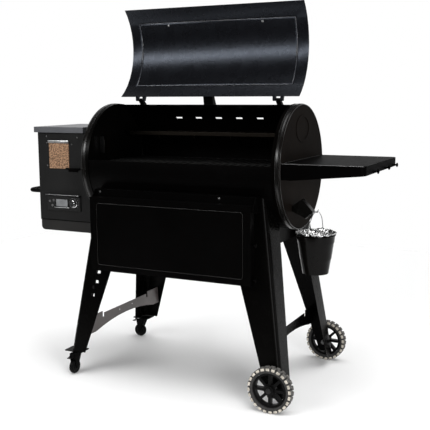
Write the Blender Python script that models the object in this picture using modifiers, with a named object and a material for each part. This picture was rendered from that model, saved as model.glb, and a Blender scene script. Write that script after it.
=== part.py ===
"""Pellet smoker grill with its barrel lid open and its front shelf folded down.

Metres, +Z up, X along the barrel with the hopper at -X, the front at -Y.
The origin is on the floor under the middle of the whole grill.
"""
from math import atan2, cos, pi, radians, sin, sqrt, tan

import bmesh
import bpy
from mathutils import Matrix, Vector

# Clearances and sheet
GAP = 0.0003
MERGE = 0.00001
RUN = 0.001
FACET = 0.0007
SHEET = 0.002

# Barrel, end caps and lid
BARREL_R = 0.282
BARREL_LENGTH = 1.02
BARREL_AXIS_Z = 1.027
OPENING_FRONT_DEG = 85.4
OPENING_REAR_DEG = 6.0
CAP_BAND = 0.042
CAP_WALL = 0.0025
CAP_ROUND = 0.008
CAP_OVAL_WIDTH = 0.18
CAP_OVAL_HEIGHT = 0.126
CAP_OVAL_RISE = 0.175
VENT_COUNT = 5
VENT_PITCH = 0.112
VENT_LENGTH = 0.034
VENT_HEIGHT = 0.012
VENT_DEG = -41.0
LID_CLEAR = 0.0055
LID_CAP_LAP = 0.010
LID_LAP_DEG = 2.6
LID_REAR_LAP_DEG = 3.6
LID_OPEN_DEG = 136.0
LID_BEAD_INSET = 0.058
LID_BEAD_DEPTH = 0.003
LID_BEAD_BASE = 0.006
LID_BEAD_CREST = 0.002
HINGE_DEG = -9.2
HINGE_RISE = 0.0203
HINGE_X = 0.37
HINGE_WIDTH = 0.024
HINGE_LUG = 0.014
LUG_BASE_DEG = (1.5, 7.25, 13.0)
HINGE_BOSS_R = 0.007
HINGE_PIN_R = 0.004
STOP_WIDTH = 0.05
STOP_LID_DEG = -3.0
STOP_FACE = 0.016
BRACKET_BASE_DEG = (-14.0, -24.0)
HANDLE_DEG = 69.0
HANDLE_SPACING = 0.507
HANDLE_LENGTH = 0.62
HANDLE_RISE = 0.055
HANDLE_R = 0.0115
HANDLE_POST_R = 0.008

# Inside the barrel
GRATE_LIFT = 0.004
GRATE_THICK = 0.004
GRATE_SPLIT = 0.004
GRATE_ROW_COUNT = 2
GRATE_PITCH = 0.041
GRATE_SLOT = 0.016
GRATE_RIB = 0.02
GRATE_ROUND = 0.01
RACK_RISE = 0.145
RACK_DEPTH = 0.15
RACK_THICK = 0.003
RACK_END = 0.02
RACK_SLOT_COUNT = 14
RACK_LIP = 0.018
BAFFLE_DROP = 0.082
BAFFLE_DIP = 0.03
BAFFLE_FALL = 0.02
POT_X = -0.10
POT_R = 0.055
POT_HEIGHT = 0.095
POT_WALL = 0.004
PROBE_Y = -0.109
PROBE_RISE = 0.086
PROBE_HEIGHT = 0.075
PROBE_REACH = 0.045
PROBE_HALF = 0.012
PROBE_ROD = 0.034
PROBE_ROD_R = 0.003

# Legs, rails and braces
LEG_TOP_DROP = 0.115
LEG_SETBACK = 0.079
LEG_WALL = 0.003
LEG_FOOT_Z = 0.12
LEG_SPLAY_X = 0.1165
LEG_SPLAY_Y = 0.088
LEG_TOP_FLANGE = 0.22
LEG_FOOT_FLANGE = 0.083
LEG_TOP_SIDE = 0.15
LEG_FOOT_SIDE = 0.104
LEG_ROUND = 0.022
LEG_WHEEL_END_Z = 0.052
LEFT_LEG_SHIFT = 0.007
LEG_SLOT_Z = (0.514, 0.467, 0.438, 0.401)
LEG_SLOT_LENGTH = (0.026, 0.018, 0.010, 0.018)
LEG_SLOT_HEIGHT = 0.014
LEG_SLOT_INSET = (0.084, 0.085, 0.070, 0.074)
RAIL_TOP_Z = 0.918
RAIL_HEIGHT = 0.072
RAIL_REACH = 0.0472
RAIL_NOSE_R = 0.012
RAIL_BRACKET_IN = 0.02
RAIL_BRACKET_OUT = 0.006
SADDLE_INSET = 0.09
SADDLE_DEPTH = 0.07
SADDLE_END_HEIGHT = 0.085
BRACE_INSET = 0.055
BRACE_BOTTOM_Z = 0.205
BRACE_STRIP = 0.078
BRACE_GUSSET = 0.088
BRACE_ARCH = 0.032
BRACE_FOOT = 0.06
BRACE_NOTCH_INSET = 0.11
BRACE_NOTCH_WIDTH = 0.014
BRACE_NOTCH_DEPTH = 0.02
BRACE_HOLE_R = 0.004
BRACE_HOLE_Y = 0.06

# Rolling gear
WHEEL_D = 0.2036
WHEEL_WIDTH = 0.045
WHEEL_SPACE = 0.0105
WHEEL_OUT = 0.002
TYRE_DEPTH = 0.024
TYRE_SHOULDER = 0.012
LUG_COUNT = 18
LUG_GROOVE = 0.009
LUG_DEPTH = 0.005
SPOKE_COUNT = 8
HUB_RIM = 0.011
HUB_BOSS_R = 0.022
SPOKE_WIDTH = 0.013
SPOKE_ROOT = 0.006
AXLE_R = 0.006
AXLE_HEAD_R = 0.012
AXLE_HEAD = 0.005
AXLE_END = 0.03
AXLE_NUT = (0.008, 0.02)
CASTER_OUT = 0.033
CASTER_SETBACK = 0.0308
CASTER_PLATE = (0.10, 0.075)
CASTER_PLATE_Z = 0.115
CASTER_D = 0.07
CASTER_WIDTH = 0.024
CASTER_TRAIL = 0.022
CASTER_PIN_R = 0.004
CASTER_CHEEK = 0.003
CASTER_RACE_R = 0.021
CASTER_RACE = 0.006
CASTER_CROWN = 0.005
CASTER_EYE_R = 0.009
PEDAL_AT = (0.034, -0.013)
PEDAL_PIN_R = 0.0025
PEDAL_EYE_R = 0.005
PEDAL_LENGTH = 0.033
PEDAL_THICK = 0.004

# Shelves
SHELF_TOP_Z = 1.0636
SHELF_LENGTH = 0.364
SHELF_DEPTH = 0.547
SHELF_APRON_IN = 0.07
SHELF_APRON_OUT = 0.04
SHELF_ROUND = 0.025
SHELF_STRAIGHT = 0.05
HOOK_REACH = 0.022
HOOK_HEAD_R = 0.011
HOOK_HEAD = 0.01
HOOK_SHANK_R = 0.004
SIDE_HOOK_Y = (-0.125, 0.067, 0.216)
SIDE_HOOK_DROP = 0.032
FOLD_WIDTH = 0.818
FOLD_TOP_Z = 0.886
FOLD_HEIGHT = 0.3475
FOLD_STAND = 0.055
FOLD_EDGE = 0.04
FOLD_SHEET = 0.003
FOLD_PIVOT_INSET = 0.02
FOLD_FRAME_INSET_X = 0.033
FOLD_FRAME_INSET_Z = 0.025
FOLD_FRAME_WIDTH = 0.007
FOLD_FRAME_DEPTH = 0.0012
FOLD_FRAME_ROUND = 0.016
FOLD_HOOK_DROP = (0.17, 0.322)
FOLD_PIN_R = 0.005
FOLD_PIN_IN = 0.014
FOLD_PIN_OUT = 0.003

# Hopper
HOPPER_LENGTH = 0.325
HOPPER_FRONT_Y = -0.19
HOPPER_DEPTH = 0.39
HOPPER_TOP_Z = 1.1715
HOPPER_SUMP = 0.07
BASE_HEIGHT = 0.054
BASE_LAP = 0.01
BASE_ROUND = 0.02
HOPPER_LID_HEIGHT = 0.028
HOPPER_LID_LENGTH = 0.298
HOPPER_LID_OVERHANG = 0.013
HOPPER_HINGE_R = 0.006
HOPPER_HINGE_SPREAD = 0.17
HOPPER_BOSS = 0.02
HOPPER_BOSS_DROP = 0.035
HOPPER_LUG = 0.01
HOPPER_LUG_OUT = 0.016
BIN_RIM = 0.012
BIN_MARGIN = 0.026
BIN_STRAIGHT = 0.13
BIN_OUTLET = (0.05, 0.036)
BIN_ROUND = 0.012
BIN_OUTLET_ROUND = 0.008
PANEL_FROM = (0.275, 0.073)
PANEL_Z = (0.782, 0.862)
PANEL_THICK = 0.006
PANEL_BROW = 0.014
PANEL_BROW_THICK = 0.004
DISPLAY_FROM = (0.220, 0.150)
DISPLAY_Z = (0.802, 0.838)
DISPLAY_PROUD = 0.002
KNOB_FROM = 0.110
KNOB_Z = 0.822
KNOB_R = 0.022
KNOB_HEIGHT = 0.022
KNOB_SKIRT = 0.004
KNOB_MARK = 0.002
SPINDLE_R = 0.003
SPINDLE = 0.012
BUTTON_R = 0.0065
BUTTON_PROUD = 0.004
BUTTON_TRAVEL = 0.0015
BUTTON_FROM = {"button_left": (0.258, 0.827), "button_right": (0.235, 0.832), "button_low": (0.243, 0.806)}
PLAQUE_FROM = (0.255, 0.136)
PLAQUE_Z = (0.993, 1.12)
PLAQUE_THICK = 0.004
PLAQUE_ROUND = 0.004
PLAQUE_LIP = 0.012
PLAQUE_LIP_OUT = 0.007
PLAQUE_LIP_INSET = 0.004
GRIP_Y = (-0.16, 0.13)
GRIP_Z = 0.872
GRIP_REACH = 0.10
GRIP_R = 0.011
GRIP_BEND = 0.032
INLET_FROM = 0.25
INLET_Z = 0.80
INLET_SIZE = (0.05, 0.03)
INLET_PROUD = 0.006

# Pellet feed and fan
AUGER_LIFT = 0.055
AUGER_TUBE_R = 0.025
AUGER_TUBE_WALL = 0.002
AUGER_TURN_COUNT = 6
AUGER_CORE_R = 0.006
AUGER_FLIGHT = 0.003
AUGER_MARGIN = 0.012
MOTOR_LENGTH = 0.026
MOTOR_SIDE = 0.07
FAN_FROM = 0.16
FAN_Y = 0.03
FAN_R = 0.055
BLADE_COUNT = 5
BLADE_THICK = 0.0018
FAN_HUB_R = 0.018
FAN_HEIGHT = 0.022
FAN_STAND = 0.012
FAN_PIN_R = 0.003

# Grease chute and bucket
GREASE_Y = -0.12
CHUTE_LIFT = 0.097
CHUTE_WIDTH = 0.032
CHUTE_MOUTH = 0.0215
CHUTE_CREST = (0.046, 0.056)
CHUTE_LIP = (0.099, 0.0015)
CHUTE_TOE = (0.065, -0.029)
HOOK_TAB = 0.004
HOOK_SEAT = (0.006, 0.005)
HOOK_HORN = 0.012
HOOK_HORN_OUT = 0.009
BUCKET_OUT = 0.108
BUCKET_HANG = 0.1
BUCKET_RIM_D = 0.173
BUCKET_BASE_D = 0.115
BUCKET_HEIGHT = 0.177
BUCKET_WALL = 0.0015
BUCKET_SIDE_COUNT = 24
BUCKET_RIB = 0.0018
BUCKET_RIB_AT = (0.78, 0.36)
BUCKET_BEAD = 0.0025
BAIL_RISE = 0.005
BAIL_R = 0.002
BAIL_BEND = 0.003
EAR_REACH = 0.012
EAR_THICK = 0.002
EAR_R = 0.009
EAR_RISE = 0.004
LINER_WALL = 0.0008
LINER_RISE = 0.009
LINER_WAVE_COUNT = 8
LINER_WAVE = 0.003

# Values worked out from the driving dimensions
CAP_R = BARREL_R + GAP + FACET + CAP_WALL
SHELL_HALF = BARREL_LENGTH / 2 - CAP_ROUND - GAP
SHELL_IN_R = BARREL_R - SHEET - FACET
CAP_FACE = BARREL_LENGTH / 2
LID_IN_R = BARREL_R + LID_CLEAR
LID_OUT_R = LID_IN_R + SHEET
LID_HALF = BARREL_LENGTH / 2 - CAP_BAND + LID_CAP_LAP
LID_FRONT_DEG = OPENING_FRONT_DEG + LID_LAP_DEG
LID_REAR_DEG = -OPENING_REAR_DEG - LID_REAR_LAP_DEG
LEG_TOP_Z = BARREL_AXIS_Z - LEG_TOP_DROP
LEG_TOP_X = CAP_FACE - LEG_SETBACK
LEG_TOP_Y = sqrt((BARREL_R + GAP) ** 2 - LEG_TOP_DROP ** 2) + LEG_WALL
LEG_FOOT_Y = LEG_TOP_Y + LEG_SPLAY_Y
RAIL_FRONT_Y = LEG_TOP_Y + RAIL_REACH
FOLD_FACE_Y = RAIL_FRONT_Y + FOLD_STAND
BARREL_LOW_Z = BARREL_AXIS_Z - BARREL_R
SADDLE_X = CAP_FACE - SADDLE_INSET
SADDLE_BOTTOM_Z = BARREL_LOW_Z - SADDLE_DEPTH
BRACE_X = CAP_FACE - BRACE_INSET
WHEEL_X = CAP_FACE + WHEEL_OUT
CASTER_X = -CAP_FACE - CASTER_OUT
CASTER_Y = LEG_FOOT_Y - CASTER_SETBACK
CAP_OVAL_Z = BARREL_AXIS_Z + CAP_OVAL_RISE
RACK_Z = BARREL_AXIS_Z + RACK_RISE
RACK_LENGTH = BARREL_LENGTH - 2 * RACK_END
BAFFLE_EDGE_Z = BARREL_AXIS_Z - BAFFLE_DROP
PROBE_Z = BARREL_AXIS_Z + PROBE_RISE
AUGER_Z = BARREL_LOW_Z + AUGER_LIFT
HOPPER_BOTTOM_Z = AUGER_Z - HOPPER_SUMP
PANEL_X = [-CAP_FACE - far for far in PANEL_FROM]
DISPLAY_X = [-CAP_FACE - far for far in DISPLAY_FROM]
PLAQUE_X = [-CAP_FACE - far for far in PLAQUE_FROM]
KNOB_X = -CAP_FACE - KNOB_FROM
BUTTONS = {name: (-CAP_FACE - far, z) for name, (far, z) in BUTTON_FROM.items()}
INLET_X = -CAP_FACE - INLET_FROM
FAN_X = -CAP_FACE - FAN_FROM
CHUTE_Z = BARREL_LOW_Z + CHUTE_LIFT
BAIL_TOP_Z = CHUTE_Z + BAIL_RISE
BUCKET_X = CAP_FACE + BUCKET_OUT
BUCKET_RIM_Z = BAIL_TOP_Z - BUCKET_HANG
GRATE_TOP_Z = BARREL_AXIS_Z + GRATE_LIFT
AUGER_START = -CAP_FACE - GAP - HOPPER_LENGTH + SHEET + GAP + MOTOR_LENGTH
HOPPER_RIGHT = -CAP_FACE - GAP
HOPPER_LEFT = HOPPER_RIGHT - HOPPER_LENGTH
HOPPER_BACK_Y = HOPPER_FRONT_Y + HOPPER_DEPTH
GRIP_OUT = HOPPER_LEFT - GRIP_REACH
SHELF_IN = CAP_FACE + GAP
SHELF_OUT = SHELF_IN + SHELF_LENGTH
HOOK_TIP = SHELF_OUT - SHEET / 2 + HOOK_REACH
CENTRE_X = (GRIP_OUT + HOOK_TIP) / 2

YZ_PLATE = Matrix(((0, 0, 1, 0), (1, 0, 0, 0), (0, 1, 0, 0), (0, 0, 0, 1)))
XZ_PLATE = Matrix(((1, 0, 0, 0), (0, 0, -1, 0), (0, 1, 0, 0), (0, 0, 0, 1)))
ALONG_X = Matrix.Rotation(pi / 2, 4, "Y")
SIDES = {"left": -1, "right": 1}
ENDS = {"front": -1, "rear": 1}


# Scene set-up and shared helpers

def clear_scene():
    for obj in list(bpy.data.objects):
        bpy.data.objects.remove(obj, do_unlink=True)


def new_collection(name):
    group = bpy.data.collections.new(name)
    bpy.context.scene.collection.children.link(group)
    return group


clear_scene()
PARTS = new_collection("pellet_smoker_grill")
CUTTERS = new_collection("cutters")

FINISHES = {
    "black_coat": ((0.012, 0.012, 0.013), 0.42, 0.0),
    "charcoal_coat": ((0.035, 0.037, 0.042), 0.38, 0.0),
    "slate_metal": ((0.10, 0.12, 0.14), 0.35, 0.7),
    "copper_brown": ((0.22, 0.12, 0.06), 0.5, 0.4),
    "steel": ((0.55, 0.55, 0.56), 0.3, 1.0),
    "chrome": ((0.75, 0.75, 0.76), 0.12, 1.0),
    "foil": ((0.8, 0.8, 0.81), 0.22, 1.0),
    "cast_iron": ((0.02, 0.02, 0.02), 0.6, 0.2),
    "grey_plastic": ((0.16, 0.16, 0.17), 0.45, 0.0),
    "black_plastic": ((0.015, 0.015, 0.016), 0.4, 0.0),
    "screen": ((0.01, 0.012, 0.016), 0.08, 0.0),
    "tyre": ((0.36, 0.33, 0.29), 0.75, 0.0),
}


def new_material(name, finish):
    colour, roughness, metallic = FINISHES[finish]
    material = bpy.data.materials.new(name + "_finish")
    material.use_nodes = True
    shader = material.node_tree.nodes["Principled BSDF"]
    shader.inputs["Base Color"].default_value = (*colour, 1.0)
    shader.inputs["Roughness"].default_value = roughness
    shader.inputs["Metallic"].default_value = metallic
    return material


def new_empty(name, parent, location, rotation=(0.0, 0.0, 0.0)):
    empty = bpy.data.objects.new(name, None)
    PARTS.objects.link(empty)
    empty.parent = parent
    empty.location = location
    empty.rotation_euler = rotation
    return empty


def smooth(mesh):
    mesh.shade_smooth()
    mesh.set_sharp_from_angle(angle=radians(32))


def add_part(obj, finish, parent):
    PARTS.objects.link(obj)
    obj.data.materials.append(new_material(obj.name, finish))
    smooth(obj.data)
    obj.parent = parent
    return obj


def add_cutter(obj, parent):
    CUTTERS.objects.link(obj)
    obj.hide_render = True
    obj.display_type = "WIRE"
    obj.parent = parent
    return obj


def boolean(obj, other, operation):
    modifier = obj.modifiers.new(operation.title(), "BOOLEAN")
    modifier.operation = operation
    modifier.object = add_cutter(other, obj.parent)


def solidify(obj, thickness, offset):
    modifier = obj.modifiers.new("Solidify", "SOLIDIFY")
    modifier.thickness = thickness
    modifier.offset = offset
    modifier.use_even_offset = True


def bevel(obj, width, segments=2):
    modifier = obj.modifiers.new("Bevel", "BEVEL")
    modifier.width = width
    modifier.segments = segments
    modifier.limit_method = "ANGLE"
    modifier.angle_limit = radians(40)


def from_bmesh(name, bm):
    mesh = bpy.data.meshes.new(name)
    bm.to_mesh(mesh)
    bm.free()
    return bpy.data.objects.new(name, mesh)


def boxes(name, *corner_pairs):
    """One object holding a box for each pair of opposite corners."""
    bm = bmesh.new()
    for low, high in corner_pairs:
        low = Vector(low)
        high = Vector(high)
        place = Matrix.Translation((low + high) / 2) @ Matrix.Diagonal((*(high - low), 1.0))
        bmesh.ops.create_cube(bm, size=1.0, matrix=place)
    return from_bmesh(name, bm)


def rods(name, *runs, segments=16):
    """One object holding a round rod for each (start, end, radius)."""
    bm = bmesh.new()
    for start, end, radius in runs:
        start = Vector(start)
        end = Vector(end)
        turn = (end - start).to_track_quat("Z", "Y").to_matrix().to_4x4()
        place = Matrix.Translation((start + end) / 2) @ turn
        bmesh.ops.create_cone(bm, cap_ends=True, segments=segments, radius1=radius, radius2=radius,
                              depth=(end - start).length, matrix=place)
    return from_bmesh(name, bm)


def join_into(first, second):
    """Both meshes in one object; the bodies stay apart."""
    if first is None:
        return second
    bm = bmesh.new()
    bm.from_mesh(first.data)
    bm.from_mesh(second.data)
    bm.to_mesh(first.data)
    bm.free()
    bpy.data.objects.remove(second, do_unlink=True)
    return first


def curve_to_object(name, curve, transform=Matrix.Identity(4)):
    """The curve's own mesh, with its loose caps welded on."""
    source = bpy.data.objects.new(name + "_curve", curve)
    bpy.context.scene.collection.objects.link(source)
    graph = bpy.context.evaluated_depsgraph_get()
    mesh = bpy.data.meshes.new_from_object(source.evaluated_get(graph))
    bpy.data.objects.remove(source, do_unlink=True)
    bm = bmesh.new()
    bm.from_mesh(mesh)
    bmesh.ops.remove_doubles(bm, verts=bm.verts, dist=MERGE)
    bmesh.ops.transform(bm, matrix=transform, verts=bm.verts)
    bmesh.ops.recalc_face_normals(bm, faces=bm.faces)
    bm.to_mesh(mesh)
    bm.free()
    mesh.name = name
    return bpy.data.objects.new(name, mesh)


def add_spline(curve, points, closed):
    spline = curve.splines.new("POLY")
    spline.points.add(len(points) - 1)
    for target, point in zip(spline.points, points):
        target.co = (*point, *(0.0,) * (3 - len(point)), 1.0)
    spline.use_cyclic_u = closed


def plate(name, outline, thickness, transform=Matrix.Identity(4), holes=()):
    """A flat outline with holes, extruded to a thickness about its own plane."""
    curve = bpy.data.curves.new(name, "CURVE")
    curve.dimensions = "2D"
    curve.fill_mode = "BOTH"
    curve.extrude = thickness / 2
    for loop in (outline, *holes):
        add_spline(curve, loop, True)
    return curve_to_object(name, curve, transform)


def tube(name, points, radius, resolution=2):
    curve = bpy.data.curves.new(name, "CURVE")
    curve.dimensions = "3D"
    curve.bevel_depth = radius
    curve.bevel_resolution = resolution
    curve.use_fill_caps = True
    add_spline(curve, points, False)
    return curve_to_object(name, curve)


def turned(name, profile, steps, transform=Matrix.Identity(4), ring=False):
    """A profile of (radius, height) pairs, run down its outer side, turned about Z."""
    bm = bmesh.new()
    points = [bm.verts.new((radius, 0.0, height)) for radius, height in profile]
    for first, second in zip(points, points[1:]):
        bm.edges.new((first, second))
    if ring:
        bm.edges.new((points[-1], points[0]))
    obj = from_bmesh(name, bm)
    screw = obj.modifiers.new("Screw", "SCREW")
    screw.steps = steps
    screw.render_steps = steps
    screw.use_merge_vertices = True
    screw.merge_threshold = MERGE
    obj.matrix_local = transform
    return obj


def sheet(name, across, along, place):
    """A grid whose points lie where place(u, v) says, u and v from 0 to 1."""
    bm = bmesh.new()
    bmesh.ops.create_grid(bm, x_segments=across, y_segments=along, size=0.5)
    for vertex in bm.verts:
        vertex.co = place(vertex.co.x + 0.5, vertex.co.y + 0.5)
    bmesh.ops.remove_doubles(bm, verts=bm.verts, dist=MERGE)
    return from_bmesh(name, bm)


def arc(centre, radius, start_deg, end_deg, steps):
    """Points of a circle, the angle measured from its first axis."""
    turn = [start_deg + (end_deg - start_deg) * step / steps for step in range(steps + 1)]
    return [(centre[0] + radius * cos(radians(t)), centre[1] + radius * sin(radians(t))) for t in turn]


def circle(centre, radius, steps=16):
    return arc(centre, radius, 0.0, 360.0, steps)[:-1]


def rounded(points, radii, steps=4):
    """A closed outline whose corners become arcs of the given radii."""
    result = []
    for index, point in enumerate(points):
        corner = Vector(point)
        radius = radii[index]
        if radius == 0.0:
            result.append(tuple(corner))
            continue
        back = (Vector(points[index - 1]) - corner).normalized()
        ahead = (Vector(points[(index + 1) % len(points)]) - corner).normalized()
        half = back.angle(ahead) / 2
        centre = corner + (back + ahead).normalized() * radius / sin(half)
        first = corner + back * radius / tan(half) - centre
        last = corner + ahead * radius / tan(half) - centre
        start = atan2(first.y, first.x)
        sweep = (atan2(last.y, last.x) - start + pi) % (2 * pi) - pi
        for step in range(steps + 1):
            angle = start + sweep * step / steps
            result.append((centre.x + radius * cos(angle), centre.y + radius * sin(angle)))
    return result


def rectangle(low, high, radius=0.0, steps=4):
    corners = [(low[0], low[1]), (high[0], low[1]), (high[0], high[1]), (low[0], high[1])]
    return rounded(corners, [radius] * 4, steps)


def round_the_barrel(radius, degrees_from_top):
    """(y, z) at a radius from the barrel axis, the angle counted from the top towards the front."""
    angle = radians(degrees_from_top)
    return (-radius * sin(angle), BARREL_AXIS_Z + radius * cos(angle))


def barrel_half_chord(radius, z):
    return sqrt(radius ** 2 - (z - BARREL_AXIS_Z) ** 2)


def blend(start, end, share):
    return start + (end - start) * share


root = new_empty("grill", None, (-CENTRE_X, 0.0, 0.0))


# Barrel

def make_barrel_shell():
    def place(u, v):
        y, z = round_the_barrel(BARREL_R, blend(OPENING_FRONT_DEG, 360.0 - OPENING_REAR_DEG, v))
        return (blend(-SHELL_HALF, SHELL_HALF, u), y, z)

    shell = add_part(sheet("barrel_shell", 1, 40, place), "black_coat", root)
    solidify(shell, SHEET, 1.0)
    first = -(VENT_COUNT - 1) / 2 * VENT_PITCH
    y, z = round_the_barrel(BARREL_R, VENT_DEG)
    through = 4 * SHEET
    vents = boxes("vent_cutter", *[((first + i * VENT_PITCH - VENT_LENGTH / 2, -VENT_HEIGHT / 2, -through),
                                    (first + i * VENT_PITCH + VENT_LENGTH / 2, VENT_HEIGHT / 2, through))
                                   for i in range(VENT_COUNT)])
    vents.data.transform(Matrix.Translation((0.0, y, z)) @ Matrix.Rotation(radians(VENT_DEG), 4, "X"))
    boolean(shell, vents, "DIFFERENCE")


def make_end_cap(name, side):
    inner = CAP_R - CAP_WALL
    corner = arc((CAP_R - CAP_ROUND, -CAP_ROUND), CAP_ROUND, 90.0, 0.0, 1)
    inside = arc((inner - CAP_ROUND + CAP_WALL, -CAP_ROUND), CAP_ROUND - CAP_WALL, 0.0, 90.0, 1)
    profile = [(0.0, 0.0), *corner, (CAP_R, -CAP_BAND), (inner, -CAP_BAND), *inside, (0.0, -CAP_WALL)]
    facing = Matrix.Rotation(side * pi / 2, 4, "Y")
    transform = Matrix.Translation((side * CAP_FACE, 0.0, BARREL_AXIS_Z)) @ facing
    return add_part(turned(name, profile, 40, transform), "black_coat", root)


def make_end_caps():
    left = make_end_cap("end_cap_left", -1)
    hole = rods("auger_hole_cutter",
                ((-CAP_FACE - CAP_BAND, 0.0, AUGER_Z), (-CAP_FACE + CAP_BAND, 0.0, AUGER_Z),
                                      AUGER_TUBE_R + GAP), segments=24)
    boolean(left, hole, "DIFFERENCE")
    right = make_end_cap("end_cap_right", 1)
    ring = plate("cap_oval", oval(1.0), CAP_WALL, oval_place(CAP_WALL / 4), holes=[oval(0.82)])
    boolean(right, ring, "UNION")
    half = CHUTE_WIDTH / 2 - 2 * SHEET
    drain = boxes("drain_cutter", ((CAP_FACE - CAP_BAND, GREASE_Y - half, CHUTE_Z + 2 * SHEET),
                                   (CAP_FACE + CAP_BAND, GREASE_Y + half, CHUTE_Z + CHUTE_MOUTH - SHEET)))
    boolean(right, drain, "DIFFERENCE")


def oval(share):
    return [(CAP_OVAL_WIDTH / 2 * share * cos(2 * pi * i / 28),
             CAP_OVAL_HEIGHT / 2 * share * sin(2 * pi * i / 28))
            for i in range(28)]


def oval_place(lift):
    return Matrix.Translation((CAP_FACE + lift, 0.0, CAP_OVAL_Z)) @ YZ_PLATE


# Lid, swung up about its hinge axis

hinge_y, hinge_z = round_the_barrel(LID_IN_R + HINGE_RISE, HINGE_DEG)
lid_axis = new_empty("lid_axis", root, (0.0, hinge_y, hinge_z), (radians(-LID_OPEN_DEG), 0.0, 0.0))


def from_hinge(y, z):
    """A point of the closed lid, seen from the hinge axis."""
    return (y - hinge_y, z - hinge_z)


def when_open(y, z):
    """Where a point of the closed lid stands with the lid open."""
    turn = Matrix.Rotation(radians(-LID_OPEN_DEG), 2)
    return Vector((hinge_y, hinge_z)) + turn @ Vector(from_hinge(y, z))


def lid_stations(low, high, bead_low, bead_high, bead_base, bead_crest, between):
    """Grid lines along one way of the lid: its edges, the flanks of the beads and some between."""
    flanks = (-bead_base, -bead_crest, bead_crest, bead_base)
    inner = [blend(bead_low + bead_base, bead_high - bead_base, i / between) for i in range(1, between)]
    first = [low, (low + bead_low - bead_base) / 2]
    last = [(high + bead_high + bead_base) / 2, high]
    return [*first, *[bead_low + f for f in flanks], *inner, *[bead_high + f for f in flanks], *last]


def make_lid_panel():
    bead_x = LID_HALF - LID_BEAD_INSET
    per_metre = 180.0 / pi / LID_IN_R
    inset = LID_BEAD_INSET * per_metre * 1.4
    low = LID_REAR_DEG + inset
    high = LID_FRONT_DEG - inset
    xs = lid_stations(-LID_HALF, LID_HALF, -bead_x, bead_x, LID_BEAD_BASE, LID_BEAD_CREST, 2)
    turns = lid_stations(LID_REAR_DEG, LID_FRONT_DEG, low, high, LID_BEAD_BASE * per_metre,
                         LID_BEAD_CREST * per_metre, 8)

    def place(u, v):
        x = xs[round(u * (len(xs) - 1))]
        turn = turns[round(v * (len(turns) - 1))]
        off_bead = max(abs(x) - bead_x, (abs(turn - (low + high) / 2) - (high - low) / 2) / per_metre)
        rise = (LID_BEAD_BASE - abs(off_bead)) / (LID_BEAD_BASE - LID_BEAD_CREST)
        radius = LID_IN_R + LID_BEAD_DEPTH * min(max(rise, 0.0), 1.0)
        return (x, *from_hinge(*round_the_barrel(radius, turn)))

    lid = add_part(sheet("lid_panel", len(xs) - 1, len(turns) - 1, place), "charcoal_coat", lid_axis)
    solidify(lid, SHEET, -1.0)
    boolean(lid, lid_lugs(), "UNION")


def make_lid_handle():
    foot = from_hinge(*round_the_barrel(LID_OUT_R + GAP, HANDLE_DEG))
    grip = from_hinge(*round_the_barrel(LID_OUT_R + HANDLE_RISE, HANDLE_DEG))
    handle = rods("lid_handle", ((-HANDLE_LENGTH / 2, *grip), (HANDLE_LENGTH / 2, *grip), HANDLE_R))
    add_part(handle, "steel", lid_axis)
    posts = [((side * HANDLE_SPACING / 2, *foot), (side * HANDLE_SPACING / 2, *grip), HANDLE_POST_R)
             for side in (-1, 1)]
    boolean(handle, rods("handle_post_cutter", *posts, segments=12), "UNION")


def barrel_bracket(base_radius, base_degrees, top_points):
    """Outline in (y, z) that hugs the barrel between two angles and rises to the given points."""
    base = [round_the_barrel(base_radius, blend(*base_degrees, i / 4)) for i in range(5)]
    return base + top_points


def make_lid_hinges():
    """Brackets behind the opening, each with a boss and the pin that the lid turns on."""
    boss = arc((hinge_y, hinge_z), HINGE_BOSS_R, 20.0, 200.0, 6)
    outline = barrel_bracket(BARREL_R + GAP, BRACKET_BASE_DEG, boss)
    half = HINGE_WIDTH / 2 + GAP + HINGE_LUG
    for name, side in SIDES.items():
        x = side * HINGE_X
        bracket = plate("lid_hinge_" + name, outline, HINGE_WIDTH,
                        Matrix.Translation((x, 0.0, 0.0)) @ YZ_PLATE)
        add_part(bracket, "black_coat", root)
        pin = rods("hinge_pin_" + name, ((x - half, hinge_y, hinge_z), (x + half, hinge_y, hinge_z),
                                         HINGE_PIN_R),
                   segments=10)
        boolean(bracket, pin, "UNION")


def lid_lugs():
    """Two lugs on each side of a hinge boss, let into the outside of the lid."""
    eye = arc((0.0, 0.0), HINGE_BOSS_R, -20.0, 160.0, 3)
    base = [from_hinge(*round_the_barrel(LID_OUT_R - SHEET / 2, LID_REAR_DEG + turn))
            for turn in LUG_BASE_DEG]
    lugs = None
    for hinge in SIDES.values():
        for side in SIDES.values():
            x = hinge * HINGE_X + side * (HINGE_WIDTH / 2 + GAP + HINGE_LUG / 2)
            place = Matrix.Translation((x, 0.0, 0.0)) @ YZ_PLATE
            bore = circle((0.0, 0.0), HINGE_PIN_R + GAP, 12)
            lug = plate("lid_lugs", eye + base[::-1], HINGE_LUG, place, holes=[bore])
            lugs = join_into(lugs, lug)
    return lugs


def make_lid_stop():
    """A bracket on the barrel whose face meets the outside of the open lid."""
    touch = when_open(*round_the_barrel(LID_OUT_R, STOP_LID_DEG))
    axis = when_open(0.0, BARREL_AXIS_Z)
    out = (touch - axis).normalized()
    along = Vector((-out.y, out.x))
    face = touch + out * GAP
    back = tuple(face + along * STOP_FACE / 2 + out * STOP_FACE / 40)
    front = tuple(face - along * STOP_FACE / 2 + out * STOP_FACE / 40)
    outline = barrel_bracket(BARREL_R + GAP, BRACKET_BASE_DEG, [back, front])
    add_part(plate("lid_stop", outline, STOP_WIDTH, YZ_PLATE), "black_coat", root)


# Inside the barrel

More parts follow.
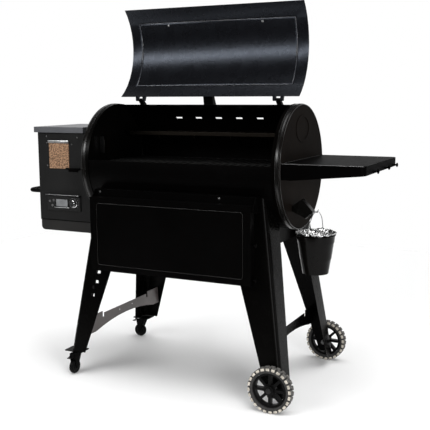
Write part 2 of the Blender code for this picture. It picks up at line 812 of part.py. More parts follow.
def slotted(low, high, columns, rows, slot, rib):
    """Rectangular through slots in rows, evenly spread over an area."""
    pitch = (high[0] - low[0]) / columns
    depth = (high[1] - low[1] - (rows - 1) * rib) / rows
    holes = []
    for row in range(rows):
        y = low[1] + row * (depth + rib)
        for column in range(columns):
            x = low[0] + (column + 0.5) * pitch
            holes.append([(x - slot / 2, y), (x + slot / 2, y), (x + slot / 2, y + depth),
                          (x - slot / 2, y + depth)])
    return holes


def make_cooking_grates():
    """Two plates with long slots that sit across the barrel at its widest."""
    half = SHELL_HALF - CAP_WALL
    width = half - GRATE_SPLIT / 2
    depth = 2 * barrel_half_chord(SHELL_IN_R - GAP, GRATE_TOP_Z)
    for name, side in SIDES.items():
        low = -half if side < 0 else half - width
        outline = rectangle((low, -depth / 2), (low + width, depth / 2), GRATE_ROUND, 2)
        columns = int(width / GRATE_PITCH)
        holes = slotted((low + GRATE_RIB, -depth / 2 + GRATE_RIB),
                        (low + width - GRATE_RIB, depth / 2 - GRATE_RIB),
                        columns, GRATE_ROW_COUNT, GRATE_SLOT, GRATE_RIB)
        place = Matrix.Translation((0.0, 0.0, GRATE_TOP_Z - GRATE_THICK / 2))
        add_part(plate("cooking_grate_" + name, outline, GRATE_THICK, place, holes), "cast_iron", root)


def make_upper_rack():
    back = barrel_half_chord(SHELL_IN_R - GAP, RACK_Z)
    outline = rectangle((-RACK_LENGTH / 2, back - RACK_DEPTH), (RACK_LENGTH / 2, back), 2 * RACK_THICK, 2)
    holes = slotted((-RACK_LENGTH / 2 + GRATE_RIB, back - RACK_DEPTH + GRATE_RIB),
                    (RACK_LENGTH / 2 - GRATE_RIB, back - GRATE_RIB), RACK_SLOT_COUNT, 1, GRATE_RIB, GRATE_RIB)
    place = Matrix.Translation((0.0, 0.0, RACK_Z - RACK_THICK / 2))
    rack = add_part(plate("upper_rack", outline, RACK_THICK, place, holes), "steel", root)
    lip = boxes("rack_lip", ((-RACK_LENGTH / 2 + RACK_LIP, back - RACK_DEPTH, RACK_Z - RACK_LIP),
                             (RACK_LENGTH / 2 - RACK_LIP, back - RACK_DEPTH + RACK_THICK,
                              RACK_Z - RACK_THICK / 2)))
    boolean(rack, lip, "UNION")


def make_heat_baffle():
    """A trough across the barrel whose lowest line falls towards the drain."""
    edge = barrel_half_chord(SHELL_IN_R - GAP, BAFFLE_EDGE_Z)
    half = SHELL_HALF - CAP_WALL

    def place(u, v):
        share = 1.0 - abs(2.0 * v - 1.0)
        y = blend(-edge if v < 0.5 else edge, GREASE_Y, share)
        dip = (BAFFLE_DIP + BAFFLE_FALL * u) * share
        return (blend(-half, half, u), y, BAFFLE_EDGE_Z - dip)

    solidify(add_part(sheet("heat_baffle", 2, 6, place), "steel", root), SHEET, 1.0)


def make_fire_pot():
    bottom = BARREL_AXIS_Z - barrel_half_chord_at(SHELL_IN_R - GAP, POT_R)
    inner = POT_R - POT_WALL
    profile = [(0.0, POT_WALL), (inner, POT_WALL), (inner, POT_HEIGHT), (POT_R, POT_HEIGHT), (POT_R, 0.0),
               (0.0, 0.0)]
    pot = add_part(turned("fire_pot", profile, 18, Matrix.Translation((POT_X, 0.0, bottom))), "cast_iron",
                   root)
    mouth = rods("pot_mouth_cutter", ((-2 * POT_R, 0.0, AUGER_Z - bottom), (0.0, 0.0, AUGER_Z - bottom),
                                      AUGER_TUBE_R + GAP), segments=24)
    mouth.location = (POT_X, 0.0, bottom)
    boolean(pot, mouth, "DIFFERENCE")


def barrel_half_chord_at(radius, y):
    return sqrt(radius ** 2 - y ** 2)


def make_temperature_probe():
    """A probe on the left end cap, inside the barrel, behind a folded guard."""
    face = -CAP_FACE + CAP_WALL + GAP
    tip = face + PROBE_REACH
    low = PROBE_Z - PROBE_HEIGHT / 2
    high = PROBE_Z + PROBE_HEIGHT / 2
    guard = boxes("temperature_probe", ((face, PROBE_Y - PROBE_HALF, low), (tip, PROBE_Y + PROBE_HALF, high)))
    add_part(guard, "steel", root)
    inside = boxes("probe_guard_cutter", ((face + SHEET, PROBE_Y - PROBE_HALF + SHEET, low - SHEET),
                                          (tip - SHEET, PROBE_Y + PROBE_HALF - SHEET, high + SHEET)))
    boolean(guard, inside, "DIFFERENCE")
    rod = rods("probe_rod", ((face + SHEET / 2, PROBE_Y, PROBE_Z), (face + PROBE_ROD, PROBE_Y, PROBE_Z),
                             PROBE_ROD_R),
               segments=10)
    boolean(guard, rod, "UNION")


# Legs and frame

fold_y = -FOLD_FACE_Y + FOLD_PIVOT_INSET
fold_z = FOLD_TOP_Z - FOLD_PIVOT_INSET
fold_axis = new_empty("front_shelf_axis", root, (0.0, fold_y, fold_z))

def leg_at(z):
    """Corner x, corner y, front flange width and side flange width of a leg at a height."""
    share = (LEG_TOP_Z - z) / (LEG_TOP_Z - LEG_FOOT_Z)
    return (LEG_TOP_X + LEG_SPLAY_X * share, LEG_TOP_Y + LEG_SPLAY_Y * share,
            blend(LEG_TOP_FLANGE, LEG_FOOT_FLANGE, share), blend(LEG_TOP_SIDE, LEG_FOOT_SIDE, share))


def leg_section(z):
    """Outer line of the leg from its front flange edge, round the corner, to its side flange edge."""
    x, y, flange, side = leg_at(z)
    bend = [(x - LEG_ROUND + LEG_ROUND * sin(i * pi / 8), y - LEG_ROUND + LEG_ROUND * cos(i * pi / 8))
            for i in range(5)]
    return [(x - flange, y), *bend, (x, y - side)]


def make_leg(name, side_x, side_y, end_z):
    top = leg_section(LEG_TOP_Z)
    end = leg_section(end_z)
    count = len(top) - 1

    def place(u, v):
        index = round(u * count)
        x = blend(end[index][0], top[index][0], v)
        y = blend(end[index][1], top[index][1], v)
        return (side_x * x - (LEFT_LEG_SHIFT if side_x < 0 else 0.0), side_y * y, blend(end_z, LEG_TOP_Z, v))

    leg = add_part(sheet(name, count, 1, place), "black_coat", root)
    solidify(leg, LEG_WALL, side_x * side_y)
    cradle = rods("leg_cradle_cutter", ((-CAP_FACE, 0.0, BARREL_AXIS_Z), (CAP_FACE, 0.0, BARREL_AXIS_Z),
                                        BARREL_R + GAP + FACET), segments=72)
    boolean(leg, cradle, "DIFFERENCE")
    return leg


def make_legs():
    for side_y, place in ((-1, "front"), (1, "rear")):
        right = make_leg("leg_" + place + "_right", 1, side_y, LEG_WHEEL_END_Z)
        reach = leg_at(LEG_WHEEL_END_Z)[1]
        axle = rods("axle_hole_cutter", ((WHEEL_X, side_y * (reach - WHEEL_WIDTH), WHEEL_D / 2),
                                         (WHEEL_X, side_y * (reach + WHEEL_WIDTH), WHEEL_D / 2),
                                         AXLE_R + 2 * GAP))
        boolean(right, axle, "DIFFERENCE")
        left = make_leg("leg_" + place + "_left", -1, side_y, CASTER_PLATE_Z + GAP + LEG_WALL / 5)
        if side_y < 0:
            boolean(left, leg_slots(), "DIFFERENCE")


def leg_slots():
    """Slots down the front of the front left leg."""
    pairs = []
    through = 4 * LEG_WALL
    for z, length, inset in zip(LEG_SLOT_Z, LEG_SLOT_LENGTH, LEG_SLOT_INSET):
        x, y, _flange, _side = leg_at(z)
        middle = inset - x - LEFT_LEG_SHIFT
        pairs.append(((middle - length / 2, -y - through, z - LEG_SLOT_HEIGHT / 2),
                      (middle + length / 2, -y + through, z + LEG_SLOT_HEIGHT / 2)))
    return boxes("leg_slot_cutter", *pairs)


def leg_inner_y(z):
    """Inner face of the front and rear flanges at a height, less the seat gap."""
    return leg_at(z)[1] - LEG_WALL - 2 * GAP


def make_front_rail():
    """A folded channel across the front legs, with the end brackets and pins of the front shelf."""
    low = RAIL_TOP_Z - RAIL_HEIGHT
    half = FOLD_WIDTH / 2 + RUN + LEG_WALL

    def seat(z):
        return -leg_at(z)[1] - GAP

    front = -RAIL_FRONT_Y
    outline = [(seat(RAIL_TOP_Z), RAIL_TOP_Z), (front, RAIL_TOP_Z), (front, low), (seat(low), low),
               (seat(low + SHEET), low + SHEET), (front + SHEET, low + SHEET),
               (front + SHEET, RAIL_TOP_Z - SHEET), (seat(RAIL_TOP_Z - SHEET), RAIL_TOP_Z - SHEET)]
    rail = add_part(plate("front_rail", outline, 2 * half, YZ_PLATE), "black_coat", root)
    nose = arc((fold_y, fold_z), RAIL_NOSE_R, 90.0, 270.0, 5)
    inside = front + RAIL_BRACKET_IN
    bracket = [(inside, RAIL_TOP_Z - SHEET / 2), (front - RAIL_BRACKET_OUT, RAIL_TOP_Z - SHEET / 2), *nose,
               (inside, low + SHEET / 2)]
    brackets = None
    runs = []
    for side in SIDES.values():
        place = Matrix.Translation((side * (half - LEG_WALL / 2), 0.0, 0.0)) @ YZ_PLATE
        brackets = join_into(brackets, plate("fold_brackets", bracket, LEG_WALL, place))
        runs.append(((side * (half - LEG_WALL - FOLD_PIN_IN), fold_y, fold_z),
                     (side * (half + FOLD_PIN_OUT), fold_y, fold_z), FOLD_PIN_R))
    boolean(rail, brackets, "UNION")
    boolean(rail, rods("fold_pins", *runs, segments=10), "UNION")


def make_saddles():
    """Plates between front and rear legs whose hollowed top carries the barrel."""
    bottom = SADDLE_BOTTOM_Z
    top = bottom + SADDLE_END_HEIGHT
    seat = BARREL_R + GAP
    end = barrel_half_chord(seat, top)
    hollow = [(y, BARREL_AXIS_Z - sqrt(seat ** 2 - y ** 2)) for y in (end * (1 - i / 9) for i in range(19))]
    outline = [(-leg_inner_y(top), top), (-leg_inner_y(bottom), bottom), (leg_inner_y(bottom), bottom),
               (leg_inner_y(top), top), *hollow]
    for name, side in SIDES.items():
        place = Matrix.Translation((side * SADDLE_X, 0.0, 0.0)) @ YZ_PLATE
        add_part(plate("saddle_" + name, outline, LEG_WALL, place), "black_coat", root)


def make_side_braces():
    """Low arched plates between the front and rear legs, with a notch near each end."""
    low = BRACE_BOTTOM_Z
    strip = low + BRACE_STRIP
    high = low + BRACE_GUSSET
    sill = strip - BRACE_NOTCH_DEPTH

    def half(side):
        end = leg_inner_y(high)
        notch = end - BRACE_NOTCH_INSET
        inner = notch - BRACE_NOTCH_WIDTH
        points = [(leg_inner_y(low), low), (end, high), (notch, high), (notch, sill), (inner, sill),
                  (inner, strip)]
        return [(side * y, z) for y, z in points]

    span = leg_inner_y(low) - BRACE_FOOT
    arch = [(span * (1 - i / 4), low + BRACE_ARCH * (1 - (1 - i / 4) ** 2)) for i in range(9)]
    outline = half(-1) + half(1)[::-1] + arch
    holes = [circle((side * BRACE_HOLE_Y, strip - BRACE_NOTCH_DEPTH), BRACE_HOLE_R, 8) for side in (-1, 1)]
    for name, side in SIDES.items():
        place = Matrix.Translation((side * BRACE_X, 0.0, 0.0)) @ YZ_PLATE
        add_part(plate("side_brace_" + name, outline, LEG_WALL, place, holes), "black_coat", root)


# Wheels at the right

def wheel_inner_y():
    return leg_at(WHEEL_D / 2)[1] + WHEEL_SPACE


def make_wheel_axles():
    inner = wheel_inner_y()
    outer = inner + WHEEL_WIDTH
    leg = leg_at(WHEEL_D / 2)[1]
    spots = [(leg - AXLE_END, outer + AXLE_HEAD, AXLE_R), (leg + RUN + 2 * GAP, inner - GAP, AXLE_HEAD_R),
             (outer + GAP, outer + AXLE_HEAD, AXLE_HEAD_R),
             (leg - AXLE_NUT[1], leg - AXLE_NUT[0], AXLE_HEAD_R)]
    for name, side in ENDS.items():
        shaft, *rest = [((WHEEL_X, side * a, WHEEL_D / 2), (WHEEL_X, side * b, WHEEL_D / 2), r)
                        for a, b, r in spots]
        axle = add_part(rods("wheel_axle_" + name, shaft, segments=8), "steel", root)
        boolean(axle, rods("axle_collars_" + name, *rest, segments=8), "UNION")


def make_wheel(place, side):
    axis = new_empty(place + "_wheel_axis", root, (WHEEL_X, side * (wheel_inner_y() + WHEEL_WIDTH / 2),
                                                   WHEEL_D / 2),
                     (-pi / 2, 0.0, 0.0))
    half = WHEEL_WIDTH / 2
    radius = WHEEL_D / 2
    bed = radius - TYRE_DEPTH
    shoulder = radius - TYRE_SHOULDER
    profile = [(bed, half * 0.8), (shoulder, half), (radius, half * 0.6), (radius, -half * 0.6),
               (shoulder, -half),
               (bed, -half * 0.8)]
    tyre = add_part(turned(place + "_tyre", profile, 36, ring=True), "tyre", axis)
    grooves = None
    for index in range(LUG_COUNT):
        row = -1 if index % 2 else 1
        groove = boxes("lug_cutter", ((radius - LUG_DEPTH, -LUG_GROOVE / 2, row * half * 0.55 - half * 0.5),
                                      (radius + LUG_DEPTH, LUG_GROOVE / 2, row * half * 0.55 + half * 0.5)))
        groove.data.transform(Matrix.Rotation(2 * pi * index / LUG_COUNT, 4, "Z"))
        grooves = join_into(grooves, groove)
    boolean(tyre, grooves, "DIFFERENCE")
    windows = [spoke_window(index, bed - HUB_RIM) for index in range(SPOKE_COUNT)]
    hub = plate(place + "_hub", circle((0.0, 0.0), bed - GAP - FACET, 28), WHEEL_WIDTH * 0.5,
                holes=[circle((0.0, 0.0), HUB_BOSS_R - SHEET, 14), *windows])
    add_part(hub, "black_plastic", axis)
    ring = [(HUB_BOSS_R, half), (HUB_BOSS_R, -half), (AXLE_R + GAP, -half), (AXLE_R + GAP, half)]
    boolean(hub, turned(place + "_hub_boss", ring, 14, ring=True), "UNION")


def spoke_window(index, outer):
    """An opening between two spokes: an arc at the rim and one at the boss."""
    middle = 360.0 / SPOKE_COUNT * (index + 0.5)
    inner = HUB_BOSS_R + SPOKE_ROOT
    wide, narrow = [180.0 / SPOKE_COUNT - SPOKE_WIDTH / 2 / radius * 180.0 / pi for radius in (outer, inner)]
    rim = arc((0.0, 0.0), outer, middle - wide, middle + wide, 2)
    return rim + arc((0.0, 0.0), inner, middle + narrow, middle - narrow, 1)


# Casters at the left

def make_caster_plates():
    low = CASTER_PLATE_Z - LEG_WALL
    lift = Matrix.Translation((0.0, 0.0, CASTER_PLATE_Z - LEG_WALL / 2))
    half_x, half_y = [size / 2 for size in CASTER_PLATE]
    for name, side in ENDS.items():
        x, y = (CASTER_X, side * CASTER_Y)
        outline = rectangle((x - half_x, y - half_y), (x + half_x, y + half_y), CASTER_EYE_R, 2)
        base = add_part(plate(name + "_caster_plate", outline, LEG_WALL, lift), "steel", root)
        race = rods("caster_race_" + name, ((x, y, low + LEG_WALL / 2), (x, y, low - CASTER_RACE),
                                            CASTER_RACE_R),
                    segments=14)
        boolean(base, race, "UNION")


def make_caster(place, side, yaw):
    """A fork that swivels under its plate, with a wheel and a brake pedal behind the swivel."""
    top = CASTER_PLATE_Z - LEG_WALL - CASTER_RACE - GAP
    swivel = new_empty(place + "_caster_swivel", root, (CASTER_X, side * CASTER_Y, top), (0.0, 0.0, yaw))
    drop = CASTER_D / 2 - top
    cheek_y = CASTER_WIDTH / 2 + RUN + CASTER_CHEEK / 2
    fork = rods(place + "_caster_fork", ((0.0, 0.0, -CASTER_CROWN), (0.0, 0.0, 0.0), CASTER_RACE_R),
                segments=14)
    add_part(fork, "steel", swivel)
    reach = PEDAL_AT[0] + PEDAL_EYE_R
    eye = arc((CASTER_TRAIL, drop), CASTER_EYE_R, 20.0, -160.0, 4)
    outline = [(CASTER_CHEEK - CASTER_RACE_R, -CASTER_CHEEK), (reach, -CASTER_CHEEK),
               (reach, PEDAL_AT[1] - PEDAL_EYE_R), *eye]
    cheeks = None
    for flank in (-1, 1):
        lay = Matrix.Translation((0.0, flank * cheek_y, 0.0)) @ XZ_PLATE
        cheeks = join_into(cheeks, plate(place + "_cheeks", outline, CASTER_CHEEK, lay))
    boolean(fork, cheeks, "UNION")
    half = cheek_y + CASTER_CHEEK / 2
    spots = ((CASTER_TRAIL, drop, CASTER_PIN_R), (*PEDAL_AT, PEDAL_PIN_R))
    pins = rods(place + "_caster_pins", *[((x, -half, z), (x, half, z), radius) for x, z, radius in spots],
                segments=10)
    boolean(fork, pins, "UNION")
    axle = new_empty(place + "_caster_axis", swivel, (CASTER_TRAIL, 0.0, drop), (-pi / 2, 0.0, 0.0))
    width = CASTER_WIDTH / 2
    tread = CASTER_D / 2
    bore = CASTER_PIN_R + GAP
    profile = [(tread * 0.45, width), (tread * 0.62, width * 0.7), (tread * 0.8, width),
               (tread * 0.91, width * 0.85),
               (tread, width * 0.4)]
    mirrored = [(r, -z) for r, z in reversed(profile)]
    ring = [(bore, width), *profile, *mirrored, (bore, -width)]
    add_part(turned(place + "_caster_wheel", ring, 16, ring=True), "black_plastic", axle)
    make_brake_pedal(place, swivel)


def make_brake_pedal(place, swivel):
    """A tongue that reaches out behind the wheel from an eye on its pin."""
    pivot = new_empty(place + "_brake_axis", swivel, (PEDAL_AT[0], 0.0, PEDAL_AT[1]))
    bore = circle((0.0, 0.0), PEDAL_PIN_R + GAP, 10)
    pedal = plate(place + "_caster_brake", circle((0.0, 0.0), PEDAL_EYE_R, 12), CASTER_WIDTH, XZ_PLATE,
                  holes=[bore])
    add_part(pedal, "black_plastic", pivot)
    root_x = PEDAL_PIN_R + 2 * GAP
    outline = [(root_x, PEDAL_THICK / 2), (PEDAL_LENGTH * 0.6, -PEDAL_THICK),
               (PEDAL_LENGTH, -PEDAL_THICK * 1.2),
               (PEDAL_LENGTH, -PEDAL_THICK * 2), (PEDAL_LENGTH * 0.6, -PEDAL_THICK * 2),
               (root_x, -PEDAL_THICK / 2)]
    boolean(pedal, plate(place + "_pedal_tongue", outline, CASTER_WIDTH, XZ_PLATE), "UNION")


# Shelves

def mushroom(name, base, direction):
    """A round-headed tool hook that stands off a panel."""
    profile = [(0.0, HOOK_REACH), (HOOK_HEAD_R * 0.6, HOOK_REACH - HOOK_HEAD * 0.1),
               (HOOK_HEAD_R, HOOK_REACH - HOOK_HEAD * 0.5), (HOOK_HEAD_R * 0.8, HOOK_REACH - HOOK_HEAD * 0.8),
               (HOOK_SHANK_R, HOOK_REACH - HOOK_HEAD),
               (HOOK_SHANK_R, 0.0),
               (0.0, 0.0)]
    bm = bmesh.new()
    ring = [bm.verts.new((r, 0.0, z)) for r, z in profile]
    edges = [bm.edges.new(pair) for pair in zip(ring, ring[1:])]
    bmesh.ops.spin(bm, geom=ring + edges, angle=2 * pi, steps=8, axis=(0.0, 0.0, 1.0), cent=(0.0, 0.0, 0.0))
    bmesh.ops.remove_doubles(bm, verts=bm.verts, dist=MERGE)
    bmesh.ops.recalc_face_normals(bm, faces=bm.faces)
    turn = Vector(direction).to_track_quat("Z", "Y").to_matrix().to_4x4()
    bmesh.ops.transform(bm, matrix=Matrix.Translation(base) @ turn, verts=bm.verts)
    return from_bmesh(name, bm)


def make_side_shelf():
    half = SHELF_DEPTH / 2
    corners = [(SHELF_IN, -half), (SHELF_OUT, -half), (SHELF_OUT, half), (SHELF_IN, half)]
    outline = rounded(corners, [0.0, SHELF_ROUND, SHELF_ROUND, 0.0], 5)
    inset = [(SHELF_IN + SHEET, -half + SHEET), (SHELF_OUT - SHEET, -half + SHEET),
             (SHELF_OUT - SHEET, half - SHEET),
             (SHELF_IN + SHEET, half - SHEET)]
    inside = rounded(inset, [0.0, SHELF_ROUND - SHEET, SHELF_ROUND - SHEET, 0.0], 5)
    lift = Matrix.Translation((0.0, 0.0, SHELF_TOP_Z - SHELF_APRON_IN / 2))
    shelf = add_part(plate("side_shelf", outline, SHELF_APRON_IN, lift), "black_coat", root)
    under = lift @ Matrix.Translation((0.0, 0.0, -SHEET))
    boolean(shelf, plate("shelf_hollow_cutter", inside, SHELF_APRON_IN, under), "DIFFERENCE")
    start = SHELF_IN + SHELF_STRAIGHT
    past = SHELF_OUT + SHELF_STRAIGHT
    rise = (SHELF_APRON_IN - SHELF_APRON_OUT) * (past - start) / (SHELF_OUT - start)
    deep = SHELF_TOP_Z - 2 * SHELF_APRON_IN
    slope = [(start, SHELF_TOP_Z - SHELF_APRON_IN), (past, SHELF_TOP_Z - SHELF_APRON_IN + rise), (past, deep),
             (start, deep)]
    boolean(shelf, plate("shelf_slope_cutter", slope, 2 * SHELF_DEPTH, XZ_PLATE), "DIFFERENCE")
    hooks = None
    for y in SIDE_HOOK_Y:
        base = (SHELF_OUT - SHEET / 2, y, SHELF_TOP_Z - SIDE_HOOK_DROP)
        hooks = join_into(hooks, mushroom("side_shelf_hooks", base, (1.0, 0.0, 0.0)))
    boolean(shelf, hooks, "UNION")


def make_front_shelf():
    """A tray on edge: its top faces forward while it hangs folded."""
    half = FOLD_WIDTH / 2
    front = -FOLD_PIVOT_INSET
    back = front + FOLD_EDGE
    top = FOLD_PIVOT_INSET
    bottom = top - FOLD_HEIGHT
    shelf = boxes("front_shelf", ((-half, front, bottom), (half, back, top)))
    add_part(shelf, "black_coat", fold_axis)
    hollow = boxes("fold_hollow_cutter", ((-half + SHEET, front + FOLD_SHEET, bottom + SHEET),
                                          (half - SHEET, back + FOLD_EDGE, top - SHEET)))
    boolean(shelf, hollow, "DIFFERENCE")
    low = (-half + FOLD_FRAME_INSET_X, bottom + FOLD_FRAME_INSET_Z)
    high = (half - FOLD_FRAME_INSET_X, top - FOLD_FRAME_INSET_Z)
    inner_low = [value + FOLD_FRAME_WIDTH for value in low]
    inner_high = [value - FOLD_FRAME_WIDTH for value in high]
    lay = Matrix.Translation((0.0, front, 0.0)) @ XZ_PLATE
    groove = plate("fold_frame_cutter", rectangle(low, high, FOLD_FRAME_ROUND), 2 * FOLD_FRAME_DEPTH, lay,
                   holes=[rectangle(inner_low, inner_high, FOLD_FRAME_ROUND - FOLD_FRAME_WIDTH)])
    boolean(shelf, groove, "DIFFERENCE")
    past = half + FOLD_PIN_OUT
    pins = rods("fold_pin_cutter", ((-past, 0.0, 0.0), (past, 0.0, 0.0), FOLD_PIN_R + GAP), segments=10)
    boolean(shelf, pins, "DIFFERENCE")
    hooks = None
    for drop in FOLD_HOOK_DROP:
        hook = mushroom("front_shelf_hooks", (half - SHEET / 2, (front + back) / 2, top - drop),
                        (1.0, 0.0, 0.0))
        hooks = join_into(hooks, hook)
    boolean(shelf, hooks, "UNION")


# Hopper

hopper_hinge_y = HOPPER_BACK_Y + HOPPER_HINGE_R + GAP
hopper_hinge_z = HOPPER_TOP_Z + HOPPER_HINGE_R
hopper_lid_x = (HOPPER_LEFT - HOPPER_LID_OVERHANG, HOPPER_LEFT - HOPPER_LID_OVERHANG + HOPPER_LID_LENGTH)
hopper_lid_mid = (hopper_lid_x[0] + hopper_lid_x[1]) / 2
hopper_lid_axis = new_empty("hopper_lid_axis", root, (hopper_lid_mid, hopper_hinge_y, hopper_hinge_z))


def make_hopper_body():
    low = (HOPPER_LEFT, HOPPER_FRONT_Y, HOPPER_BOTTOM_Z)
    high = (HOPPER_RIGHT, HOPPER_BACK_Y, HOPPER_TOP_Z)
    body = add_part(boxes("hopper_body", (low, high)), "charcoal_coat", root)
    hollow = boxes("hopper_hollow_cutter", ((low[0] + SHEET, low[1] + SHEET, low[2] - SHEET),
                                            (high[0] - SHEET, high[1] - SHEET, high[2] - SHEET)))
    boolean(body, hollow, "DIFFERENCE")
    mouth = bin_mouth()
    opening = boxes("bin_mouth_cutter", ((mouth[0][0] - SHEET, mouth[0][1] - SHEET, HOPPER_TOP_Z - 2 * SHEET),
                                         (mouth[1][0] + SHEET, mouth[1][1] + SHEET,
                                          HOPPER_TOP_Z + 2 * SHEET)))
    boolean(body, opening, "DIFFERENCE")
    hole = rods("feed_hole_cutter", ((HOPPER_RIGHT - 4 * SHEET, 0.0, AUGER_Z),
                                     (HOPPER_RIGHT + SHEET, 0.0, AUGER_Z),
                                     AUGER_TUBE_R + GAP), segments=24)
    boolean(body, hole, "DIFFERENCE")
    for piece in hopper_hinges():
        boolean(body, piece, "UNION")


def make_hopper_base():
    """A tray let into the bottom of the hopper, with the fan on its floor and an air grille below it."""
    inset = SHEET + GAP
    low = (HOPPER_LEFT + inset, HOPPER_FRONT_Y + inset, HOPPER_BOTTOM_Z - BASE_HEIGHT)
    high = (HOPPER_RIGHT - inset, HOPPER_BACK_Y - inset, HOPPER_BOTTOM_Z + BASE_LAP)
    outline = [(low[0], high[2]), (low[0], low[2]), (high[0], low[2]), (high[0], high[2])]
    lay = Matrix.Translation((0.0, (low[1] + high[1]) / 2, 0.0)) @ XZ_PLATE
    rounds = [0.0, BASE_ROUND, BASE_ROUND, 0.0]
    base = plate("hopper_base", rounded(outline, rounds), high[1] - low[1], lay)
    add_part(base, "charcoal_coat", root)
    inner = [(low[0] + SHEET, high[2] + SHEET), (low[0] + SHEET, low[2] + SHEET),
             (high[0] - SHEET, low[2] + SHEET),
             (high[0] - SHEET, high[2] + SHEET)]
    rounds = [0.0, BASE_ROUND - SHEET, BASE_ROUND - SHEET, 0.0]
    boolean(base, plate("base_hollow_cutter", rounded(inner, rounds), high[1] - low[1] - 2 * SHEET, lay),
            "DIFFERENCE")
    grille = []
    for index in range(6):
        middle = 60.0 * index
        grille.append(arc((FAN_X, FAN_Y), FAN_R * 0.9, middle - 15.0, middle + 15.0, 3)
                      + arc((FAN_X, FAN_Y), FAN_R * 0.5, middle + 13.0, middle - 13.0, 1))
    air = None
    for loop in grille:
        air = join_into(air, plate("air_cutter", loop, 4 * SHEET, Matrix.Translation((0.0, 0.0, low[2]))))
    boolean(base, air, "DIFFERENCE")
    floor = low[2] + SHEET
    stand = floor + FAN_STAND
    boss = rods("fan_boss", ((FAN_X, FAN_Y, floor - SHEET / 2), (FAN_X, FAN_Y, stand), FAN_HUB_R * 0.5),
                segments=12)
    boolean(base, boss, "UNION")
    pin = rods("fan_pin", ((FAN_X, FAN_Y, floor), (FAN_X, FAN_Y, stand + FAN_HEIGHT), FAN_PIN_R), segments=10)
    boolean(base, pin, "UNION")


def bin_mouth():
    """Opposite corners of the pellet bin's mouth, in plan."""
    left = HOPPER_LEFT + BIN_MARGIN
    right = HOPPER_LEFT - HOPPER_LID_OVERHANG + HOPPER_LID_LENGTH - BIN_MARGIN
    return ((left, HOPPER_FRONT_Y + BIN_MARGIN), (right, HOPPER_BACK_Y - BIN_MARGIN))


def bin_outlet():
    middle_x = (bin_mouth()[0][0] + bin_mouth()[1][0]) / 2
    return ((middle_x - BIN_OUTLET[0] / 2, -BIN_OUTLET[1] / 2),
            (middle_x + BIN_OUTLET[0] / 2, BIN_OUTLET[1] / 2))


def make_pellet_bin():
    """A funnel with a flange on the hopper's top, straight walls and a sloping throat over the auger."""
    mouth = bin_mouth()
    outlet = bin_outlet()
    flange = ((mouth[0][0] - BIN_RIM, mouth[0][1] - BIN_RIM), (mouth[1][0] + BIN_RIM, mouth[1][1] + BIN_RIM))
    top = HOPPER_TOP_Z + GAP
    throat = AUGER_Z + AUGER_TUBE_R + SHEET
    straight = rectangle(*mouth, BIN_ROUND, 3)
    rings = [(rectangle(*flange, BIN_ROUND, 3), top), (straight, top), (straight, top - BIN_STRAIGHT),
             (rectangle(*outlet, BIN_OUTLET_ROUND, 3), throat)]
    count = len(rings[0][0])

    def place(u, v):
        loop, z = rings[round(v * (len(rings) - 1))]
        return (*loop[round(u * count) % count], z)

    solidify(add_part(sheet("pellet_bin", count, len(rings) - 1, place), "steel", root), SHEET, 1.0)


def make_hopper_lid():
    half = HOPPER_LID_LENGTH / 2
    front = HOPPER_FRONT_Y - HOPPER_LID_OVERHANG - hopper_hinge_y
    back = HOPPER_BACK_Y - hopper_hinge_y
    low = HOPPER_TOP_Z + GAP - hopper_hinge_z
    high = low + HOPPER_LID_HEIGHT
    lid = boxes("hopper_lid", ((-half, front, low), (half, back, high)))
    add_part(lid, "slate_metal", hopper_lid_axis)
    hollow = boxes("hopper_lid_cutter", ((-half + SHEET, front + SHEET, low - SHEET),
                                         (half - SHEET, back - SHEET, high - SHEET)))
    boolean(lid, hollow, "DIFFERENCE")
    lugs = None
    ear = [*arc((0.0, 0.0), HOPPER_HINGE_R, -90.0, 90.0, 5), (back - SHEET / 2, HOPPER_HINGE_R),
           (back - SHEET / 2, -HOPPER_HINGE_R + GAP * 2)]
    for hinge in (-1, 1):
        for side in (-1, 1):
            x = hinge * HOPPER_HINGE_SPREAD / 2 + side * HOPPER_LUG_OUT
            place = Matrix.Translation((x, 0.0, 0.0)) @ YZ_PLATE
            bore = circle((0.0, 0.0), HINGE_PIN_R + GAP, 10)
            lug = plate("hopper_lid_lugs", ear, HOPPER_LUG, place, holes=[bore])
            lugs = join_into(lugs, lug)
    boolean(lid, lugs, "UNION")


def hopper_hinges():
    """Bosses on the back wall with the pins of the hopper lid."""
    wall = HOPPER_BACK_Y - SHEET / 2
    foot = hopper_hinge_z - HOPPER_BOSS_DROP
    outline = [*arc((hopper_hinge_y, hopper_hinge_z), HOPPER_HINGE_R, 0.0, 180.0, 5),
               (HOPPER_BACK_Y + GAP, HOPPER_TOP_Z - GAP), (wall, HOPPER_TOP_Z - GAP), (wall, foot),
               (HOPPER_BACK_Y + SHEET, foot)]
    reach = HOPPER_LUG_OUT + HOPPER_LUG / 2 + SHEET
    hinges = None
    runs = []
    for side in SIDES.values():
        x = hopper_lid_mid + side * HOPPER_HINGE_SPREAD / 2
        place = Matrix.Translation((x, 0.0, 0.0)) @ YZ_PLATE
        hinges = join_into(hinges, plate("hopper_hinges", outline, HOPPER_BOSS, place))
        runs.append(((x - reach, hopper_hinge_y, hopper_hinge_z), (x + reach, hopper_hinge_y, hopper_hinge_z),
                     HINGE_PIN_R))
    return hinges, rods("hopper_pins", *runs, segments=10)


panel_back = HOPPER_FRONT_Y - GAP
panel_front = panel_back - PANEL_THICK


